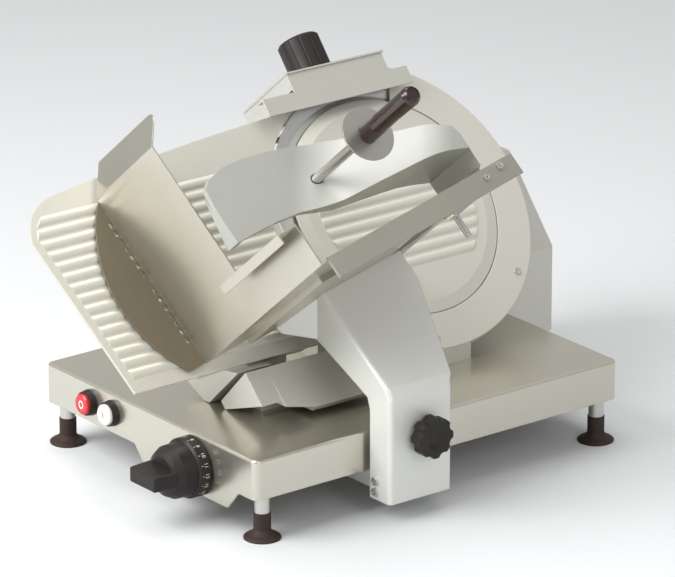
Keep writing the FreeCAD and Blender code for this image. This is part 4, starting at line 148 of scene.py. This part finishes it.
def worn_normal(tree, height, depth, edge=EDGE_BREAK):
    """Surface direction with its edges rubbed to a radius, tilted by a height of depth mm."""
    rounded = add(tree, "ShaderNodeBevel", {"Radius": edge}, samples=EDGE_SAMPLES)
    relief = add(tree, "ShaderNodeBump", {
        "Height": height, "Strength": BUMP_STRENGTH, "Distance": depth * MM,
        "Normal": rounded.outputs[0]})
    return relief.outputs[0]


def metal(name, colour, rough, turn, grain, depth, metallic=0.9, contrast=0.07, spread=0.08,
          edge=EDGE_BREAK):
    """colour * (1 +- contrast) by the grain, roughness rough +- spread, bump of depth mm."""
    material, tree = new_material(name, colour)
    lines = add(tree, "ShaderNodeTexNoise", {
        "Vector": grain_mm(tree, turn, grain), "Scale": 1.0, "Detail": 3.0,
        "Roughness": GRAIN_ROUGHNESS})
    clouds = add(tree, "ShaderNodeTexNoise", {
        "Vector": grain_mm(tree, turn, [CLOUD_SIZE] * 3), "Scale": 1.0, "Detail": 2.0})
    both = add(tree, "ShaderNodeMath", {0: lines.outputs[0], 1: clouds.outputs[0]},
               operation="ADD")
    level = add(tree, "ShaderNodeMapRange", {
        "Value": both.outputs[0], "From Min": LEVELS[0], "From Max": LEVELS[1]})
    tone = add(tree, "ShaderNodeMix", {
        "Factor": level.outputs[0], 6: shaded(colour, 1 - contrast),
        7: shaded(colour, 1 + contrast)}, data_type="RGBA")
    gloss = add(tree, "ShaderNodeMapRange", {
        "Value": level.outputs[0], "To Min": rough - spread, "To Max": rough + spread})
    surface = add(tree, "ShaderNodeBsdfPrincipled", {
        "Base Color": tone.outputs[2], "Metallic": metallic, "Roughness": gloss.outputs[0],
        "Normal": worn_normal(tree, lines.outputs[0], depth, edge)})
    add(tree, "ShaderNodeOutputMaterial", {"Surface": surface.outputs[0]})
    return material


# %% [markdown]
# The base is folded sheet, brushed along its length and bright enough to mirror what stands on it.
# The gauge plate, the ring and the blade cover are anodised: the same metal, but evenly dull, with
# a warm grey cast. Real brush lines are a few hundredths of a millimetre wide, too fine to show at
# this distance, so they are drawn about a millimetre wide.

# %% Aluminium and steel finishes
finish = {
    "brushed_base": metal("brushed_aluminium_sheet", "#cdc9bd", 0.26, length_axes,
                          (160, 1.2, 1.2), 0.003, contrast=0.012, spread=0.01),
    "anodised": metal("anodised_aluminium_plate", "#cfcdc2", 0.44, blade_axes,
                      (5, 1.2, 1.2), 0.004, metallic=0.5, contrast=0.015, spread=0.03),
    "housing": metal("anodised_housing_sheet", "#c9c8c0", 0.38, blade_axes,
                     (90, 1.3, 1.3), 0.005, metallic=0.7, contrast=0.02, spread=0.04),
    "casting": metal("bead_blasted_casting", "#cbcac2", 0.48, base_axes,
                     (1.5, 1.5, 1.5), 0.03, metallic=0.7, contrast=0.03, spread=0.05),
    "wall": metal("brushed_stainless_wall", "#c6c2b6", 0.32, wall_axes,
                  (120, 1.2, 1.2), 0.004, contrast=0.02, spread=0.04),
    "tray": metal("brushed_stainless_tray", "#c8c4b8", 0.3, tray_axes,
                  (140, 1.2, 1.2), 0.004, contrast=0.02, spread=0.04),
    "rail": metal("satin_edge_rail", "#a29f94", 0.4, tray_axes,
                  (90, 1.5, 1.5), 0.003, metallic=0.6, contrast=0.015, spread=0.02),
    "guard": metal("bronze_anodised_guard", "#7d7563", 0.36, wall_axes,
                   (60, 1.6, 1.6), 0.004, metallic=0.6, contrast=0.04, spread=0.05),
    "disc": metal("nickelled_guard_disc", "#b5b4ac", 0.34, tray_axes,
                  (2.2, 2.2, 2.2), 0.004, contrast=0.02, spread=0.04),
    "turned": metal("turned_steel", "#c9c7c2", 0.24, base_axes,
                    (2.2, 2.2, 2.2), 0.006, contrast=0.03, spread=0.04),
    "lacquer": metal("grey_lacquered_casting", "#d8d9d4", 0.48, base_axes,
                     (1.8, 1.8, 1.8), 0.015, metallic=0.3, contrast=0.02, spread=0.04,
                     edge=CAST_EDGE),
    "pusher": metal("satin_pusher_casting", "#aeafa9", 0.44, tray_axes,
                    (1.8, 1.8, 1.8), 0.01, metallic=0.35, contrast=0.02, spread=0.04),
}
print("metal finishes:", sorted(finish))

# %% [markdown]
# The blade is ground on a wheel while it turns, which leaves rings round its centre. A wave
# pattern of rings in the blade's own axes gives them, over chromed tool steel. The pattern goes
# through twenty radians in one unit of length, so the unit is twenty times the length wanted for
# one radian, and the marks lie 2 pi times that length apart, about 14 mm.

# %% Ground blade
RING_RADIAN = 2.2         # millimetres for one radian of the ring wave
WAVE_RADIANS = 20         # radians of the wave pattern in one unit
MARK_WOBBLE = 0.4         # how far the marks stray from true circles
MARK_STRENGTH = 0.3
MARK_DEPTH = 0.01 * MM
GROUND_ROUGHNESS = (0.3, 0.4)


def ground_blade():
    """Bright steel whose roughness and bump follow sin(r / RING_RADIAN)."""
    material, tree = new_material("ground_tool_steel", "#c3c5c4")
    radial = grain_mm(tree, blade_axes, [RING_RADIAN * WAVE_RADIANS] * 3, blade_centre)
    rings = add(tree, "ShaderNodeTexWave", {
        "Vector": radial, "Scale": 1.0, "Distortion": MARK_WOBBLE, "Detail": 2.0},
        wave_type="RINGS", rings_direction="Z")
    gloss = add(tree, "ShaderNodeMapRange", {
        "Value": rings.outputs[1], "To Min": GROUND_ROUGHNESS[0],
        "To Max": GROUND_ROUGHNESS[1]})
    relief = add(tree, "ShaderNodeBump", {
        "Height": rings.outputs[1], "Strength": MARK_STRENGTH,
        "Distance": MARK_DEPTH})
    surface = add(tree, "ShaderNodeBsdfPrincipled", {
        "Base Color": linear("#cfd0ce"), "Metallic": 0.9, "Roughness": gloss.outputs[0],
        "Normal": relief.outputs[0]})
    add(tree, "ShaderNodeOutputMaterial", {"Surface": surface.outputs[0]})
    return material


finish["blade"] = ground_blade()

# %% [markdown]
# Knobs, collars and the grip are moulded in phenolic or ABS. A mould leaves an even skin with a
# slight grain, and the grip is polished. The buttons are glossy caps, and the feet are rubber,
# which is dull and slightly brown where it has aged.

# %% Recipe for plastic and rubber
WEAR_SIZE = 22.0          # millimetres between duller and shinier places
WEAR_LEVELS = (0.3, 0.7)  # the part of the noise that most places fall in
WEAR_GLOSS = 0.15         # share by which wear changes the roughness
SKIN_SPECULAR = 0.32      # a moulded skin mirrors a little less than glass does


def moulded(name, colour, rough, grit, depth, coat=0.0, contrast=0.12):
    """Dielectric skin: grit-sized bumps of depth mm, tone varied by a slow noise."""
    material, tree = new_material(name, colour)
    grain = add(tree, "ShaderNodeTexNoise", {
        "Vector": grain_mm(tree, base_axes, [grit] * 3), "Scale": 1.0, "Detail": 2.0})
    wear = add(tree, "ShaderNodeTexNoise", {
        "Vector": grain_mm(tree, base_axes, [WEAR_SIZE] * 3), "Scale": 1.0, "Detail": 3.0})
    tone = add(tree, "ShaderNodeMix", {
        "Factor": wear.outputs[0], 6: shaded(colour, 1 - contrast),
        7: shaded(colour, 1 + contrast)}, data_type="RGBA")
    gloss = add(tree, "ShaderNodeMapRange", {
        "Value": wear.outputs[0], "From Min": WEAR_LEVELS[0], "From Max": WEAR_LEVELS[1],
        "To Min": rough * (1 - WEAR_GLOSS), "To Max": rough * (1 + WEAR_GLOSS)})
    surface = add(tree, "ShaderNodeBsdfPrincipled", {
        "Base Color": tone.outputs[2], "Roughness": gloss.outputs[0],
        "Specular IOR Level": SKIN_SPECULAR, "Coat Weight": coat,
        "Normal": worn_normal(tree, grain.outputs[0], depth)})
    add(tree, "ShaderNodeOutputMaterial", {"Surface": surface.outputs[0]})
    return material


finish.update({
    "knob": moulded("black_phenolic_knob", "#211c1a", 0.46, 1.2, 0.04),
    "switch": moulded("black_abs_collar", "#241f1d", 0.5, 1.0, 0.04),
    "grip": moulded("polished_brown_grip", "#2b1a17", 0.2, 3.0, 0.01, coat=0.6),
    "red": moulded("red_button_cap", "#c02a31", 0.26, 2.0, 0.01, coat=0.4, contrast=0.05),
    "white": moulded("white_button_cap", "#e9e7df", 0.28, 2.0, 0.01, coat=0.4, contrast=0.02),
    "rubber": moulded("aged_black_rubber", "#33261f", 0.62, 1.4, 0.06),
    "stone": moulded("bonded_abrasive", "#a08d80", 0.9, 0.9, 0.3, contrast=0.25),
})

# %% [markdown]
# Each CAD piece now takes its finish. The record already says what every piece is made of, so most
# of them follow their slot, and only the sheets with a direction of their own are named here.

# %% Dress the frame
slot_finish = {
    "cast_aluminium": "casting", "cool_grey_casting": "lacquer", "stainless_sheet": "tray",
    "brown_guard": "guard", "bright_steel": "turned", "blade_steel": "blade",
    "black_plastic": "knob", "brown_grip": "grip", "red_button": "red",
    "white_button": "white", "foot_rubber": "rubber", "stone": "stone"}
piece_finish = {
    "base_body": "brushed_base", "base_bottom_plate": "brushed_base",
    "motor_housing": "housing", "service_cover": "housing", "sharpener_casing": "housing",
    "sharpener_top_plate": "housing", "gauge_plate": "anodised", "ring_guard": "anodised",
    "blade_cover": "anodised", "end_wall": "wall", "button_collars": "switch",
    "outer_rail": "rail", "handle_guard_disc": "disc", "pusher_arm": "pusher",
    "switch_blocks": "switch", "cable_gland": "switch"}
for name, piece in nodes.items():
    piece.data.materials.clear()
    piece.data.materials.append(finish[piece_finish.get(name, slot_finish[slot_of[name]])])
print("dressed pieces:", len(nodes))

# %% [markdown]
# The thickness dial carries a printed scale: a number every twenty degrees, with a tick for
# each, on the rim that turns past the panel. Printed ink follows the rim, so the flat figures are
# bent round the dial's axis: a figure's width becomes an angle, its height stays along the axis.

# %% Numbers round the thickness dial
INK_LIFT = 0.12 * MM
DIAL_NUMBERS = 16
DIAL_SWEEP = math.radians(300)
FIGURE_HEIGHT = 5.2 * MM
FIGURE_SHARE = 0.72       # height of a figure as a share of the type's size
FIGURE_BAND = 11 * MM     # from the rim's front edge to the middle of the figures
TICK_BAND = 5.2 * MM      # and to the middle of the ticks

low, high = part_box("thickness_dial")
dial_axis = Vector(joint_of["thickness_turn"]["pos_m"])
dial_radius = (high.x - low.x) / 2
dial_front = low.y


def flat_figure(text):
    """Vertices and faces of one printed figure, centred on its own width and height."""
    curve = bpy.data.curves.new("figure", "FONT")
    curve.body = text
    curve.size = FIGURE_HEIGHT / FIGURE_SHARE
    curve.align_x = "CENTER"
    curve.resolution_u = 3
    holder = bpy.data.objects.new("figure", curve)
    bpy.context.scene.collection.objects.link(holder)
    bpy.context.view_layer.update()
    mesh = bpy.data.meshes.new_from_object(holder.evaluated_get(
        bpy.context.evaluated_depsgraph_get()))
    points = np.zeros(len(mesh.vertices) * 3)
    mesh.vertices.foreach_get("co", points)
    faces = [tuple(face.vertices) for face in mesh.polygons]
    bpy.data.objects.remove(holder)
    bpy.data.curves.remove(curve)
    bpy.data.meshes.remove(mesh)
    points = points.reshape(-1, 3)[:, :2]
    points[:, 1] -= FIGURE_HEIGHT / 2
    return points, faces


def round_the_rim(points, middle, band):
    """(x, y) -> angle = middle + x / r, place along the axis = band + y, on the dial's rim."""
    r = dial_radius + INK_LIFT
    angle = middle + points[:, 0] / r
    return np.column_stack((dial_axis.x + r * np.sin(angle),
                            dial_front + band - points[:, 1],
                            dial_axis.z + r * np.cos(angle)))


def make_piece(name, points, faces, material, body, slot):
    """One mesh object in the frame's axes, riding on a body."""
    mesh = bpy.data.meshes.new(name)
    mesh.from_pydata([tuple(point) for point in points], [], faces)
    mesh.update()
    mesh.materials.append(material)
    piece = bpy.data.objects.new(name, mesh)
    bpy.context.scene.collection.objects.link(piece)
    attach(piece, body)
    return piece


# %% Print the scale
def join(parts):
    """Stacks several (points, faces) into one, counting the faces on from each other."""
    starts = np.cumsum([0] + [len(points) for points, _ in parts[:-1]])
    faces = [tuple(int(start + v) for v in face)
             for start, (_, fs) in zip(starts, parts) for face in fs]
    return np.concatenate([points for points, _ in parts]), faces


ink = moulded("white_scale_ink", "#d9d4c6", 0.5, 1.0, 0.005, contrast=0.05)
TICK = np.array([(-0.3, -1.4), (0.3, -1.4), (0.3, 1.4), (-0.3, 1.4)]) * MM
figures, ticks = [], []
for number in range(DIAL_NUMBERS):
    middle = DIAL_SWEEP * (number / (DIAL_NUMBERS - 1) - 0.5)
    points, faces = flat_figure(str(number))
    figures.append((round_the_rim(points, middle, FIGURE_BAND), faces))
    ticks.append((round_the_rim(TICK, middle, TICK_BAND), [(0, 1, 2, 3)]))
dial_figures = make_piece("dial_figures", *join(figures), ink, "knob", "white_button")
dial_ticks = make_piece("dial_ticks", *join(ticks), ink, "knob", "white_button")
print("figures:", len(figures), "faces:", len(dial_figures.data.polygons))

# %% [markdown]
# The two push buttons carry the usual signs for off and on, a ring and a bar, moulded flush in the
# other colour. A ring is a band between two circles, and a bar is the same band pulled straight.

# %% Signs on the push buttons
SIGN_STEPS = 48
SIGN_RADIUS = 5.6 * MM
RING_HOLE = 3.6 * MM
RING_SQUEEZE = 0.85       # the ring is a little narrower than it is tall
BAR_HOLE = 0.2 * MM       # the bar is a ring whose hole has almost closed
BAR_SQUEEZE = 0.16


def disc_sign(node_name, outer, inner, squeeze):
    """Ring on a button's face: (r cos t * squeeze, r sin t) for r at the inner and outer edge."""
    low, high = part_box(node_name)
    turn = np.linspace(0, 2 * np.pi, SIGN_STEPS, endpoint=False)
    rims = [np.column_stack(((low.x + high.x) / 2 + radius * squeeze * np.sin(turn),
                             np.full(SIGN_STEPS, low.y - INK_LIFT),
                             (low.z + high.z) / 2 + radius * np.cos(turn)))
            for radius in (inner, outer)]
    step = np.arange(SIGN_STEPS)
    after = (step + 1) % SIGN_STEPS
    faces = np.column_stack((step, after, after + SIGN_STEPS, step + SIGN_STEPS))
    return np.concatenate(rims), [tuple(int(v) for v in face) for face in faces]


ring_shape = disc_sign("stop_button", SIGN_RADIUS, RING_HOLE, RING_SQUEEZE)
bar_shape = disc_sign("start_button", SIGN_RADIUS, BAR_HOLE, BAR_SQUEEZE)
stop_sign = make_piece("stop_sign", *ring_shape, finish["white"], "stop", "white_button")
start_sign = make_piece("start_sign", *bar_shape, finish["knob"], "start", "black_plastic")
print("signs:", stop_sign.name, start_sign.name)

# %% [markdown]
# A plain pale floor carries on as far as the camera sees. Metal shows what is around it, so the
# room matters more than the lamps: the world is a soft ramp from a darker horizon to a bright
# ceiling, and three large panels give the highlights along the edges.

# %% Floor and room
FLOOR_SIZE = 40.0
FLOOR_COLOUR = "#cfd1d3"
FLOOR_ROUGHNESS = 0.85
HORIZON = (0.62, 0.62, 0.61, 1)
CEILING = (1.0, 0.99, 0.97, 1)
CEILING_FROM = 0.5        # share of the way up at which the ceiling's colour is reached
ROOM_STRENGTH = 0.62
ROOM_AIM = Vector((0, 0, 0.25))


def plain_floor():
    """One large square with a matt, neutral paint."""
    mesh = bpy.data.meshes.new("studio_floor")
    half = FLOOR_SIZE / 2
    mesh.from_pydata([(-half, -half, 0), (half, -half, 0), (half, half, 0), (-half, half, 0)],
                     [], [(0, 1, 2, 3)])
    material, tree = new_material("studio_floor_paint", FLOOR_COLOUR)
    surface = add(tree, "ShaderNodeBsdfPrincipled", {
        "Base Color": linear(FLOOR_COLOUR), "Roughness": FLOOR_ROUGHNESS})
    add(tree, "ShaderNodeOutputMaterial", {"Surface": surface.outputs[0]})
    mesh.materials.append(material)
    floor = bpy.data.objects.new("studio_floor", mesh)
    bpy.context.scene.collection.objects.link(floor)


plain_floor()
world = bpy.data.worlds.new("soft_room")
bpy.context.scene.world = world
world.use_nodes = True
sky = world.node_tree
sky.nodes.clear()
direction = add(sky, "ShaderNodeTexCoord")
height = add(sky, "ShaderNodeSeparateXYZ", {0: direction.outputs["Generated"]})
ramp = add(sky, "ShaderNodeValToRGB", {0: height.outputs[2]})
ramp.color_ramp.elements[0].position = 0.0
ramp.color_ramp.elements[0].color = HORIZON
ramp.color_ramp.elements[1].position = CEILING_FROM
ramp.color_ramp.elements[1].color = CEILING
room = add(sky, "ShaderNodeBackground", {"Color": ramp.outputs[0], "Strength": ROOM_STRENGTH})
add(sky, "ShaderNodeOutputWorld", {"Surface": room.outputs[0]})


def panel(name, toward, distance, size, power):
    """A square soft box that looks at the middle of the machine from a direction."""
    lamp = bpy.data.lights.new(name, "AREA")
    lamp.shape = "SQUARE"
    lamp.size = size
    lamp.energy = power
    holder = bpy.data.objects.new(name, lamp)
    bpy.context.scene.collection.objects.link(holder)
    holder.location = ROOM_AIM + Vector(toward).normalized() * distance
    holder.rotation_euler = (holder.location - ROOM_AIM).to_track_quat("Z", "Y").to_euler()


panel("key_panel", (-0.2, -1.0, 0.75), 2.6, 1.9, 92)
panel("ceiling_panel", (-0.15, 0.1, 1.0), 2.4, 1.8, 26)
panel("side_panel", (1.0, -0.1, 0.45), 3.0, 1.4, 18)

# %% [markdown]
# The camera stands far off with a long lens, so upright edges stay upright. Its direction is
# written as the three directions of the picture, which were worked out from the machine's own
# straight edges, and the lens from how much those edges draw together.

# %% Camera
IMAGE_WIDTH = 675
FOCAL_PIXELS = 6000
SENSOR = 36.0             # millimetres
DISTANCE = 7.6787         # metres from the base's middle, along the line of sight
ASIDE = 0.00766           # metres to the right of it
RISE = 0.19428            # metres above it, across the line of sight
FAR_END = 100             # metres
back = Vector((0.7417, -0.578, 0.340)).normalized()
right = Vector((0.6146, 0.7889, 0.0)).normalized()
up = back.cross(right)
base_low, base_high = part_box("base_body")
base_middle = Vector(((base_low.x + base_high.x) / 2, (base_low.y + base_high.y) / 2, 0))
camera = bpy.data.objects.new("camera", bpy.data.cameras.new("camera"))
bpy.context.scene.collection.objects.link(camera)
camera.data.sensor_width = SENSOR
camera.data.lens = FOCAL_PIXELS / IMAGE_WIDTH * SENSOR
camera.data.clip_end = FAR_END
camera.matrix_world = Matrix.Translation(
    base_middle + back * DISTANCE + right * ASIDE + up * RISE) @ Matrix(
        (right, up, back)).transposed().to_4x4()
bpy.context.scene.camera = camera
bpy.context.scene.view_settings.view_transform = "Standard"
